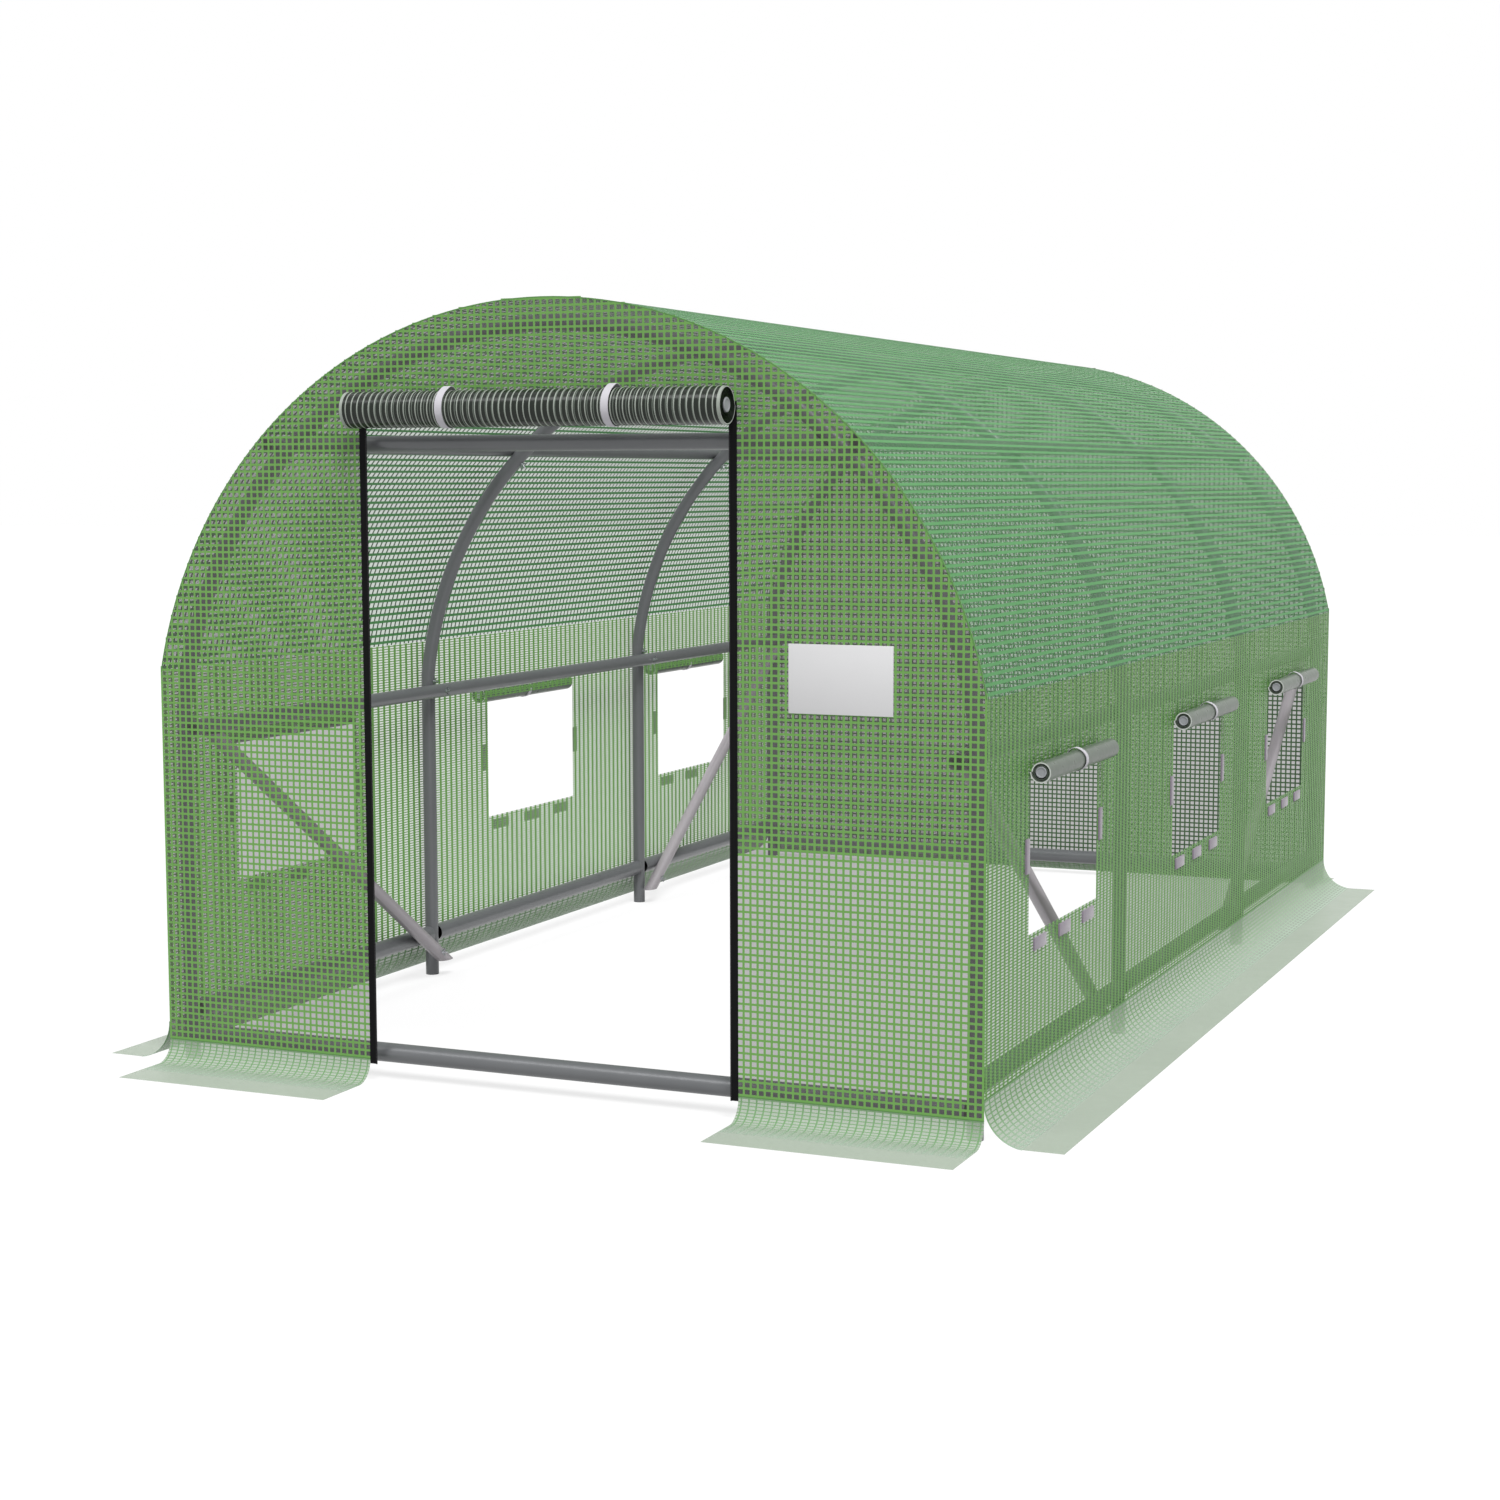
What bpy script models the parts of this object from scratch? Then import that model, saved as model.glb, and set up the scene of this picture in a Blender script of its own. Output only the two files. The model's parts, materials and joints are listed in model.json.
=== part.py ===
"""Walk-in polytunnel: four tube hoops under a reinforced film cover.

The cover has a roll-up door between two zips and three roll-up windows in each side wall.
Units are metres, +Z is up, and the door faces -Y. The origin is on the ground, below the
middle of the tunnel.
"""

import math

import bmesh
import bpy
from mathutils import Vector

# Gaps: between pieces that touch, and round pieces that turn or slide
FIT = 0.0003
RUN = 0.0005

# Cover: roof, side walls and end walls
COVER_WIDTH = 2.30
COVER_LENGTH = 4.14
APEX_HEIGHT = 2.00
EAVE_HEIGHT = 1.05
END_HEM_HEIGHT = 0.058
SIDE_HEM_HEIGHT = 0.106
FILM = 0.001

# Skirt: a quarter round below the hem, then flat on the ground
SIDE_SKIRT_REACH = 0.195
END_SKIRT_REACH = 0.225

# Hoops: two straight legs and an arch
HOOP_TUBE = 0.041
TUBE_WALL = 0.0008
LEG_TOP_DROP = 0.10
HOOP_INSET = 0.05
LEG_INSET = 0.038
MIDDLE_BAY = 1.50

# Tubes along the tunnel
ROOF_PURLIN_TUBE = 0.036
ROOF_PURLIN_ANGLE = math.radians(45)
EAVE_PURLIN_TUBE = 0.042
EAVE_PURLIN_DROP = 0.05
PURLIN_OVERHANG = 0.03
RAIL_TUBE = 0.05
SIDE_RAIL_HEIGHT = 0.13

# Tubes across the ends, and the diagonal braces of the end bays
SILL_HEIGHT = 0.068
HEADER_DROP = 0.094
BRACE_TUBE = 0.041
BRACE_SETBACK = 0.06
BRACE_BOTTOM = 0.05

# Door: zips, rolled-up curtain, ties. The doorway hangs from the apex, and the rest hangs
# from the doorway's top.
ZIP_SPACING = 1.023
ZIP_WIDTH = 0.021
ZIP_THICKNESS = 0.002
ZIP_BOTTOM = 0.047
DOOR_TOP_DROP = 0.26
SLIDER_PLATE = 0.0015
SLIDER_LENGTH = 0.024
SLIDER_DROP = 0.018
DOOR_ROLL = 0.094
DOOR_ROLL_BORE = 0.032
DOOR_ROLL_OVERHANG = 0.0085
DOOR_ROLL_DROP = 0.01
CURTAIN_GROUND_GAP = 0.04
CURTAIN_SEAM_RISE = 0.035
TIE_THICKNESS = 0.0012
DOOR_TIE_WIDTH = 0.020
DOOR_TIE_SPACING = 0.455
DOOR_TIE_SHIFT = -0.0075

# Windows: one opening in each bay of a side wall, with its shift from the bay's middle,
# and with a rolled-up flap and a tie
WINDOW_WIDTH = 0.605
WINDOW_HEIGHT = 0.395
WINDOW_TOP_DROP = 0.21
WINDOW_SHIFTS = (-0.045, -0.005, -0.085)
FLAP_ROLL = 0.055
FLAP_ROLL_BORE = 0.028
FLAP_SIDE_OVERLAP = 0.0075
FLAP_ROLL_RISE = 0.008
FLAP_OVERLAP = 0.055
FLAP_TIE_WIDTH = 0.020

# Facets of round shapes
TUBE_SIDES = 12
ARCH_STEPS_BELOW_PURLIN = 4
ARCH_STEPS_ABOVE_PURLIN = 5
ROOF_STEPS_BELOW_PURLIN = 5
ROOF_STEPS_ABOVE_PURLIN = 7
SKIRT_STEPS = 5
ROLL_SIDES = 12

# Roof arc through both eaves and the apex
HALF_WIDTH = COVER_WIDTH / 2
HALF_LENGTH = COVER_LENGTH / 2
ROOF_RISE = APEX_HEIGHT - EAVE_HEIGHT
ROOF_RADIUS = (HALF_WIDTH**2 + ROOF_RISE**2) / (2 * ROOF_RISE)
ROOF_CENTRE = APEX_HEIGHT - ROOF_RADIUS
ROOF_START = math.asin((EAVE_HEIGHT - ROOF_CENTRE) / ROOF_RADIUS)

# Heights below the eaves
LEG_TOP = EAVE_HEIGHT - LEG_TOP_DROP
EAVE_PURLIN_HEIGHT = LEG_TOP - EAVE_PURLIN_DROP
WINDOW_TOP = EAVE_HEIGHT - WINDOW_TOP_DROP
WINDOW_SILL = WINDOW_TOP - WINDOW_HEIGHT
FLAP_ROLL_HEIGHT = WINDOW_TOP + FLAP_ROLL_RISE
FLAP_ROLL_LENGTH = WINDOW_WIDTH + 2 * FLAP_SIDE_OVERLAP
FLAP_LENGTH = WINDOW_HEIGHT + FLAP_OVERLAP

# Heights below the apex
DOOR_TOP = APEX_HEIGHT - DOOR_TOP_DROP
HEADER_HEIGHT = DOOR_TOP - HEADER_DROP
SLIDER_HEIGHT = DOOR_TOP - SLIDER_DROP
DOOR_ROLL_HEIGHT = DOOR_TOP - DOOR_ROLL_DROP
DOOR_ROLL_LENGTH = ZIP_SPACING + 2 * DOOR_ROLL_OVERHANG
DOOR_CURTAIN_LENGTH = DOOR_TOP - CURTAIN_GROUND_GAP
CURTAIN_TOP = DOOR_TOP + CURTAIN_SEAM_RISE

# The roof purlins lie between hoops and cover. The arch passes through the leg's top and
# through the point below the purlin.
LEG_X = HALF_WIDTH - LEG_INSET
ROOF_PURLIN_ORBIT = ROOF_RADIUS - FILM - FIT - ROOF_PURLIN_TUBE / 2
CROSSING_ORBIT = ROOF_PURLIN_ORBIT - ROOF_PURLIN_TUBE / 2 - FIT - HOOP_TUBE / 2
CROSSING_X = CROSSING_ORBIT * math.cos(ROOF_PURLIN_ANGLE)
CROSSING_Z = ROOF_CENTRE + CROSSING_ORBIT * math.sin(ROOF_PURLIN_ANGLE)
ARCH_CENTRE = (CROSSING_X**2 + CROSSING_Z**2 - LEG_X**2 - LEG_TOP**2) / (2 * (CROSSING_Z - LEG_TOP))
ARCH_RADIUS = math.hypot(LEG_X, LEG_TOP - ARCH_CENTRE)
ARCH_START = math.asin((LEG_TOP - ARCH_CENTRE) / ARCH_RADIUS)
ARCH_CROSSING = math.atan2(CROSSING_Z - ARCH_CENTRE, CROSSING_X)
END_HOOP_Y = HALF_LENGTH - HOOP_INSET
HOOP_Y = (-END_HOOP_Y, -MIDDLE_BAY / 2, MIDDLE_BAY / 2, END_HOOP_Y)

LEG_INSIDE = LEG_X - HOOP_TUBE / 2
EAVE_PURLIN_X = LEG_INSIDE - FIT - EAVE_PURLIN_TUBE / 2
BRACE_X = LEG_X - max(HOOP_TUBE, RAIL_TUBE) / 2 - FIT - BRACE_TUBE / 2

ZIP_X = ZIP_SPACING / 2
ZIP_Y = -HALF_LENGTH + FILM / 2
JAMB_X = ZIP_X + ZIP_WIDTH / 2 + FIT
SLIDER_FACE = ZIP_THICKNESS / 2 + RUN
SLIDER_BACK_X = ZIP_X - ZIP_WIDTH / 2 - RUN - SLIDER_PLATE
CURTAIN_FACE = -HALF_LENGTH - FIT - FILM
DOOR_ROLL_BACK = min(CURTAIN_FACE - RUN - TIE_THICKNESS, ZIP_Y - SLIDER_FACE - SLIDER_PLATE)
DOOR_ROLL_Y = DOOR_ROLL_BACK - RUN - DOOR_ROLL / 2
FLAP_ROLL_X = HALF_WIDTH + FIT + TIE_THICKNESS + RUN + FLAP_ROLL / 2

SIDES = {"left": -1, "right": 1}


def clear_scene():
    """Removes every object of the open scene."""
    for old in list(bpy.data.objects):
        bpy.data.objects.remove(old)


def linear(channel):
    """Linear value of one sRGB channel from 0 to 1."""
    return channel / 12.92 if channel <= 0.04045 else ((channel + 0.055) / 1.055) ** 2.4


def make_material(name, colour, roughness, metallic=0.0, alpha=1.0):
    """Principled material with an sRGB hex colour."""
    made = bpy.data.materials.new(name)
    made.use_nodes = True
    shader = made.node_tree.nodes["Principled BSDF"]
    red, green, blue = (linear(int(colour[i : i + 2], 16) / 255) for i in (0, 2, 4))
    shader.inputs["Base Color"].default_value = (red, green, blue, 1)
    shader.inputs["Roughness"].default_value = roughness
    shader.inputs["Metallic"].default_value = metallic
    shader.inputs["Alpha"].default_value = alpha
    return made


def make_empty(name, place):
    """Empty that carries the pieces of one moving body."""
    empty = bpy.data.objects.new(name, None)
    empty.location = place
    bpy.context.collection.objects.link(empty)
    return empty


def add_piece(mesh, name, material=None, origin=(0, 0, 0), parent=None):
    """Turns a bmesh in world coordinates into an object whose origin is at origin."""
    bmesh.ops.recalc_face_normals(mesh, faces=mesh.faces)
    bmesh.ops.translate(mesh, verts=mesh.verts, vec=-Vector(origin))
    data = bpy.data.meshes.new(name)
    mesh.to_mesh(data)
    mesh.free()
    data.shade_smooth()
    data.set_sharp_from_angle(angle=math.radians(40))
    if material:
        data.materials.append(material)
    piece = bpy.data.objects.new(name, data)
    piece.location = Vector(origin)
    if parent:
        piece.parent = parent
        piece.location -= parent.location
    bpy.context.collection.objects.link(piece)
    return piece


def add_cutter(low, high):
    """Box between two corners that only cuts."""
    mesh = bmesh.new()
    bmesh.ops.create_cube(mesh, size=1)
    size = Vector(high) - Vector(low)
    bmesh.ops.scale(mesh, verts=mesh.verts, vec=size)
    cutter = add_piece(mesh, "cutter")
    cutter.location = (Vector(high) + Vector(low)) / 2
    cutter.hide_render = True
    cutter.display_type = "WIRE"
    return cutter


def cut(piece, cutter):
    """Cuts a cutter's shape out of a piece."""
    step = piece.modifiers.new("cut", "BOOLEAN")
    step.object = cutter
    step.operation = "DIFFERENCE"
    step.solver = "EXACT"


def ring(mesh, centre, first, second, radius):
    """Vertices of one round section."""
    turns = [2 * math.pi * i / TUBE_SIDES for i in range(TUBE_SIDES)]
    return [mesh.verts.new(centre + radius * (math.cos(t) * first + math.sin(t) * second)) for t in turns]


def slide_to_plane(vertices, centre, along, normal):
    """Slides a ring's vertices along the tube until they lie in the end's plane."""
    for vertex in vertices:
        vertex.co -= along * ((vertex.co - centre).dot(normal) / along.dot(normal))


def join_rings(mesh, one, other):
    """Quads between two rings with the same number of vertices."""
    for i, start in enumerate(one):
        after = (i + 1) % len(one)
        mesh.faces.new((start, one[after], other[after], other[i]))


def tube_mesh(path, diameter, side, wall=TUBE_WALL, end_normals=(None, None)):
    """Tube along a path, hollow unless wall is None.

    side points to the first vertex of each section. An end normal cuts that end in a plane
    that isn't square to the tube.
    """
    mesh = bmesh.new()
    points = [Vector(p) for p in path]
    runs = [(b - a).normalized() for a, b in zip(points, points[1:])]
    bores = [diameter / 2] if wall is None else [diameter / 2, diameter / 2 - wall]
    shells = [[] for _ in bores]
    for i, point in enumerate(points):
        before, after = runs[max(i - 1, 0)], runs[min(i, len(runs) - 1)]
        along = (before + after).normalized()
        first = (Vector(side) - along * along.dot(Vector(side))).normalized()
        for shell, radius in zip(shells, bores):
            shell.append(ring(mesh, point, first, along.cross(first), radius))
    for end, normal in zip((0, -1), end_normals):
        if normal:
            for shell in shells:
                slide_to_plane(shell[end], points[end], runs[end], Vector(normal))
    for shell in shells:
        for one, other in zip(shell, shell[1:]):
            join_rings(mesh, one, other)
    for end in (0, -1):
        if wall is None:
            mesh.faces.new(shells[0][end])
        else:
            join_rings(mesh, shells[0][end], shells[1][end])
    return mesh


def strip_mesh(outer, inner, axis, low, high, closed=False):
    """Sheet whose section lies between two outlines, drawn out along X or Y.

    Each outline point is (sideways, height), where sideways is Y on a sheet along X and X on
    a sheet along Y.
    """
    mesh = bmesh.new()

    def row(outline, at):
        return [mesh.verts.new((at, a, z) if axis == "x" else (a, at, z)) for a, z in outline]

    loops = [[row(outline, at) for outline in (outer, inner)] for at in (low, high)]
    count = len(outer) if closed else len(outer) - 1
    for i in range(count):
        j = (i + 1) % len(outer)
        for near, far in loops:
            mesh.faces.new((near[i], near[j], far[j], far[i]))
        for side in (0, 1):
            one, other = loops[0][side], loops[1][side]
            mesh.faces.new((one[i], one[j], other[j], other[i]))
    if not closed:
        for i in (0, -1):
            mesh.faces.new((loops[0][0][i], loops[0][1][i], loops[1][1][i], loops[1][0][i]))
    return mesh


def prism_mesh(outline, axis, low, high):
    """Solid with a flat outline, drawn out along Y or Z."""
    mesh = bmesh.new()
    rows = []
    for at in (low, high):
        rows.append([mesh.verts.new((a, at, b) if axis == "y" else (a, b, at)) for a, b in outline])
        mesh.faces.new(rows[-1])
    join_rings(mesh, rows[0], rows[1])
    return mesh


def box_mesh(low, high):
    """Box between two corners."""
    (x0, y0, z0), (x1, y1, z1) = low, high
    return prism_mesh([(x0, z0), (x1, z0), (x1, z1), (x0, z1)], "y", y0, y1)


def stepped(start, stop, steps):
    """Even steps from start up to but without stop."""
    return [start + (stop - start) * i / steps for i in range(steps)]


def arc_angles(start, crossing, steps_below, steps_above):
    """Angles of an arch from right to left, with a corner at each purlin and at the top."""
    right = stepped(start, crossing, steps_below) + stepped(crossing, math.pi / 2, steps_above)
    return right + [math.pi / 2] + [math.pi - a for a in reversed(right)]


def arc_points(radius, centre, angles):
    """(x, z) points of an arch."""
    return [(radius * math.cos(a), centre + radius * math.sin(a)) for a in angles]


def roof_outline(inset=0.0):
    """(x, z) points of the roof arc, inset from the cover's outer face."""
    angles = arc_angles(ROOF_START, ROOF_PURLIN_ANGLE, ROOF_STEPS_BELOW_PURLIN, ROOF_STEPS_ABOVE_PURLIN)
    return arc_points(ROOF_RADIUS - inset, ROOF_CENTRE, angles)


def arch_angles():
    """Angles of the hoops' arches."""
    return arc_angles(ARCH_START, ARCH_CROSSING, ARCH_STEPS_BELOW_PURLIN, ARCH_STEPS_ABOVE_PURLIN)


def make_hoops(steel):
    """Legs and arches of the four hoops."""
    arch = arc_points(ARCH_RADIUS, ARCH_CENTRE, arch_angles())
    level = (0, 0, 1)
    for number, y in enumerate(HOOP_Y, start=1):
        for side, sign in SIDES.items():
            foot = (sign * LEG_X, y, 0)
            top = (sign * LEG_X, y, LEG_TOP - FIT)
            leg = tube_mesh([foot, top], HOOP_TUBE, (0, 1, 0))
            add_piece(leg, f"hoop_{number}_{side}_leg", steel, foot)
        path = [(x, y, z) for x, z in arch]
        mesh = tube_mesh(path, HOOP_TUBE, (0, 1, 0), end_normals=(level, level))
        add_piece(mesh, f"hoop_{number}_arch", steel, (0, y, ARCH_CENTRE))


def make_purlins(steel):
    """Roof purlins on top of the arches and eave purlins inside the legs."""
    end = END_HOOP_Y + PURLIN_OVERHANG
    for side, sign in SIDES.items():
        outward = Vector((sign * math.cos(ROOF_PURLIN_ANGLE), 0, math.sin(ROOF_PURLIN_ANGLE)))
        middle = Vector((0, 0, ROOF_CENTRE)) + ROOF_PURLIN_ORBIT * outward
        path = [middle - Vector((0, end, 0)), middle + Vector((0, end, 0))]
        add_piece(tube_mesh(path, ROOF_PURLIN_TUBE, outward), f"roof_purlin_{side}", steel, middle)
        middle = Vector((sign * EAVE_PURLIN_X, 0, EAVE_PURLIN_HEIGHT))
        path = [middle - Vector((0, end, 0)), middle + Vector((0, end, 0))]
        add_piece(tube_mesh(path, EAVE_PURLIN_TUBE, (1, 0, 0)), f"eave_purlin_{side}", steel, middle)


def make_side_rails(steel):
    """Bottom rails between the legs, one in each bay of each side."""
    end = HOOP_TUBE / 2 + FIT
    for side, sign in SIDES.items():
        for number, (near, far) in enumerate(zip(HOOP_Y, HOOP_Y[1:]), start=1):
            path = [(sign * LEG_X, y, SIDE_RAIL_HEIGHT) for y in (near + end, far - end)]
            mesh = tube_mesh(path, RAIL_TUBE, (1, 0, 0))
            add_piece(mesh, f"side_rail_{side}_{number}", steel, path[0])


def inner_x(height, points):
    """X of the right side of an arch's inner line at this height."""
    for (x0, z0), (x1, z1) in zip(points, points[1:]):
        if z0 <= height <= z1:
            return x0 + (x1 - x0) * (height - z0) / (z1 - z0)
    raise ValueError("the header lies outside the arch")


def make_end_tubes(steel):
    """Sills between the legs at both ends, and the header over the door."""
    reach = LEG_INSIDE - FIT
    for name, y in (("front_sill", -END_HOOP_Y), ("rear_sill", END_HOOP_Y)):
        path = [(-reach, y, SILL_HEIGHT), (reach, y, SILL_HEIGHT)]
        add_piece(tube_mesh(path, RAIL_TUBE, (0, 1, 0)), name, steel, (0, y, SILL_HEIGHT))
    inside = arc_points(ARCH_RADIUS - HOOP_TUBE / 2 - FIT, ARCH_CENTRE, arch_angles())
    low, high = (inner_x(HEADER_HEIGHT + step, inside) for step in (-HOOP_TUBE / 2, HOOP_TUBE / 2))
    reach = (low + high) / 2
    path = [(-reach, -END_HOOP_Y, HEADER_HEIGHT), (reach, -END_HOOP_Y, HEADER_HEIGHT)]
    normals = [Vector((x, 0, (low - high) * reach / HOOP_TUBE)) for x in (-reach, reach)]
    mesh = tube_mesh(path, HOOP_TUBE, (0, 1, 0), end_normals=normals)
    add_piece(mesh, "door_header", steel, (0, -END_HOOP_Y, HEADER_HEIGHT))


def make_braces(steel):
    """Diagonals of both end bays, from under the eave purlin down to the next hoop's foot."""
    level = (0, 0, 1)
    top_z = EAVE_PURLIN_HEIGHT - EAVE_PURLIN_TUBE / 2 - FIT
    for end, way in (("front", -1), ("rear", 1)):
        for side, sign in SIDES.items():
            top = (sign * BRACE_X, way * (END_HOOP_Y - BRACE_SETBACK), top_z)
            bottom = (sign * BRACE_X, way * MIDDLE_BAY / 2, BRACE_BOTTOM)
            mesh = tube_mesh([top, bottom], BRACE_TUBE, (1, 0, 0), end_normals=(level, level))
            add_piece(mesh, f"brace_{end}_{side}", steel, top)


def window_centres():
    """Y of each window's middle."""
    bays = zip(HOOP_Y, HOOP_Y[1:], WINDOW_SHIFTS)
    return [(near + far) / 2 + shift for near, far, shift in bays]


def make_cover(film):
    """Roof, side walls with window openings, front wall with the doorway, and rear wall."""
    end = HALF_LENGTH - FILM - FIT
    add_piece(strip_mesh(roof_outline(), roof_outline(FILM), "y", -end, end), "roof_sheet", film)
    wall_top = EAVE_HEIGHT - FILM * math.sin(ROOF_START) - FIT
    for side, sign in SIDES.items():
        faces = sorted((sign * HALF_WIDTH, sign * (HALF_WIDTH - FILM)))
        mesh = box_mesh((faces[0], -end, SIDE_HEM_HEIGHT), (faces[1], end, wall_top))
        wall = add_piece(mesh, f"wall_sheet_{side}", film)
        for y in window_centres():
            low = (faces[0] - FILM, y - WINDOW_WIDTH / 2, WINDOW_SILL)
            high = (faces[1] + FILM, y + WINDOW_WIDTH / 2, WINDOW_TOP)
            cut(wall, add_cutter(low, high))
    hem = END_HEM_HEIGHT
    arch = [(HALF_WIDTH, hem)] + roof_outline() + [(-HALF_WIDTH, hem)]
    doorway = [(-JAMB_X, hem), (-JAMB_X, DOOR_TOP), (JAMB_X, DOOR_TOP), (JAMB_X, hem)]
    front = prism_mesh(arch + doorway, "y", -HALF_LENGTH, -HALF_LENGTH + FILM)
    add_piece(front, "front_sheet", film)
    rear = prism_mesh(arch, "y", HALF_LENGTH - FILM, HALF_LENGTH)
    add_piece(rear, "rear_sheet", film)


def skirt_outlines(edge, out, reach, hem):
    """Outer and inner (sideways, height) lines of a skirt below a wall's face.

    Args:
        edge: where the wall's outer face is
        out: 1 or -1, the way that leads outside
        reach: how far the skirt runs out from the wall
        hem: height of the wall's lower edge
    """
    radius = hem - FIT
    turns = stepped(0, math.pi / 2, SKIRT_STEPS) + [math.pi / 2]
    outer = [(radius * (1 - math.cos(t)), radius * (1 - math.sin(t)) + FILM * math.sin(t)) for t in turns]
    inner = [(a - FILM * math.cos(t), z - FILM * math.sin(t)) for (a, z), t in zip(outer, turns)]
    outer.append((reach, FILM))
    inner.append((reach, 0.0))
    return [[(edge + out * a, z) for a, z in line] for line in (outer, inner)]


def make_skirts(film):
    """Skirts that run out over the ground along every wall, open at the corners and the door."""
    end = HALF_LENGTH - FILM - FIT
    for side, sign in SIDES.items():
        outer, inner = skirt_outlines(sign * HALF_WIDTH, sign, SIDE_SKIRT_REACH, SIDE_HEM_HEIGHT)
        add_piece(strip_mesh(outer, inner, "y", -end, end), f"skirt_{side}", film)
        outer, inner = skirt_outlines(-HALF_LENGTH, -1, END_SKIRT_REACH, END_HEM_HEIGHT)
        low, high = sorted((sign * JAMB_X, sign * HALF_WIDTH))
        add_piece(strip_mesh(outer, inner, "x", low, high), f"skirt_front_{side}", film)
    outer, inner = skirt_outlines(HALF_LENGTH, 1, END_SKIRT_REACH, END_HEM_HEIGHT)
    add_piece(strip_mesh(outer, inner, "x", -HALF_WIDTH, HALF_WIDTH), "skirt_rear", film)


def roll_outlines(centre, diameter, bore, length, wall_side):
    """Outer and inner lines of a sheet of this length, rolled up in whole turns.

    The outermost turn ends at the wall, which is on the side given by wall_side (1 or -1), so
    the roll unwinds as it comes down the wall.
    """
    turns = round(length / (math.pi * (diameter + bore) / 2))
    steps = turns * ROLL_SIDES
    outer, inner = [], []
    for i in range(steps + 1):
        angle = 2 * math.pi * i / ROLL_SIDES
        radius = (bore + (diameter - bore) * i / steps) / 2
        for line, r in ((outer, radius), (inner, radius - FILM)):
            line.append((centre[0] + wall_side * r * math.cos(angle), centre[1] + r * math.sin(angle)))
    return outer, inner


def tie_outlines(centre, diameter):
    """Outer and inner lines of a tie, whose flats clear a turning roll of this diameter."""
    half = math.pi / ROLL_SIDES
    lines = []
    for flat in (diameter / 2 + RUN + TIE_THICKNESS, diameter / 2 + RUN):
        corner = flat / math.cos(half)
        angles = [half + 2 * half * i for i in range(ROLL_SIDES)]
        lines.append([(centre[0] + corner * math.cos(a), centre[1] + corner * math.sin(a)) for a in angles])
    return lines


def make_door(film, rolled_film, webbing, core_plastic):
    """Rolled-up door curtain on its core, its two ties, and the strip that it hangs from."""
    axle = (DOOR_ROLL_Y, DOOR_ROLL_HEIGHT)
    origin = (0, *axle)
    carriage = make_empty("door_carriage", origin)
    half = DOOR_ROLL_LENGTH / 2
    outer, inner = roll_outlines(axle, DOOR_ROLL, DOOR_ROLL_BORE, DOOR_CURTAIN_LENGTH, 1)
    add_piece(strip_mesh(outer, inner, "x", -half, half), "door_roll", rolled_film, origin, carriage)
    core = 2 * ((DOOR_ROLL_BORE / 2 - FILM) * math.cos(math.pi / ROLL_SIDES) - RUN)
    mesh = tube_mesh([(-half, *axle), (half, *axle)], core, (0, 1, 0), wall=None)
    add_piece(mesh, "door_core", core_plastic, origin, carriage)
    for side, sign in SIDES.items():
        middle = DOOR_TIE_SHIFT + sign * DOOR_TIE_SPACING / 2
        outer, inner = tie_outlines(axle, DOOR_ROLL)
        low, high = middle - DOOR_TIE_WIDTH / 2, middle + DOOR_TIE_WIDTH / 2
        mesh = strip_mesh(outer, inner, "x", low, high, closed=True)
        add_piece(mesh, f"door_tie_{side}", webbing, origin, carriage)
    reach = SLIDER_BACK_X - RUN
    low = (-reach, CURTAIN_FACE, DOOR_ROLL_HEIGHT)
    high = (reach, CURTAIN_FACE + FILM, CURTAIN_TOP)
    add_piece(box_mesh(low, high), "door_curtain", film, high)


def make_zips(tape, slider_metal):
    """Zip along each side of the doorway, with a slider that grips it from the door's side."""
    half = ZIP_WIDTH / 2
    for side, sign in SIDES.items():
        low, high = sorted((sign * (ZIP_X - half), sign * (ZIP_X + half)))
        faces = (ZIP_Y - ZIP_THICKNESS / 2, ZIP_Y + ZIP_THICKNESS / 2)
        mesh = box_mesh((low, faces[0], ZIP_BOTTOM), (high, faces[1], DOOR_TOP - FIT))
        add_piece(mesh, f"zip_{side}", tape)
        outer = SLIDER_FACE + SLIDER_PLATE
        web = SLIDER_BACK_X + SLIDER_PLATE
        grip = ZIP_X + half / 2
        outline = [
            (SLIDER_BACK_X, -outer),
            (grip, -outer),
            (grip, -SLIDER_FACE),
            (web, -SLIDER_FACE),
            (web, SLIDER_FACE),
            (grip, SLIDER_FACE),
            (grip, outer),
            (SLIDER_BACK_X, outer),
        ]
        outline = [(sign * x, ZIP_Y + y) for x, y in outline]
        bottom = SLIDER_HEIGHT - SLIDER_LENGTH / 2
        carriage = make_empty(f"zip_{side}_carriage", (sign * ZIP_X, ZIP_Y, SLIDER_HEIGHT))
        mesh = prism_mesh(outline, "z", bottom, bottom + SLIDER_LENGTH)
        add_piece(mesh, f"zip_slider_{side}", slider_metal, carriage.location, carriage)


def make_window_flaps(rolled_film, webbing):
    """Rolled-up flap and tie above each window."""
    half = FLAP_ROLL_LENGTH / 2
    for side, sign in SIDES.items():
        for number, y in enumerate(window_centres(), start=1):
            axle = (sign * FLAP_ROLL_X, FLAP_ROLL_HEIGHT)
            origin = (axle[0], y, axle[1])
            carriage = make_empty(f"window_{side}_{number}_carriage", origin)
            outer, inner = roll_outlines(axle, FLAP_ROLL, FLAP_ROLL_BORE, FLAP_LENGTH, -sign)
            mesh = strip_mesh(outer, inner, "y", y - half, y + half)
            add_piece(mesh, f"window_roll_{side}_{number}", rolled_film, origin, carriage)
            outer, inner = tie_outlines(axle, FLAP_ROLL)
            tie = FLAP_TIE_WIDTH / 2
            mesh = strip_mesh(outer, inner, "y", y - tie, y + tie, closed=True)
            add_piece(mesh, f"window_tie_{side}_{number}", webbing, origin, carriage)


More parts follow.
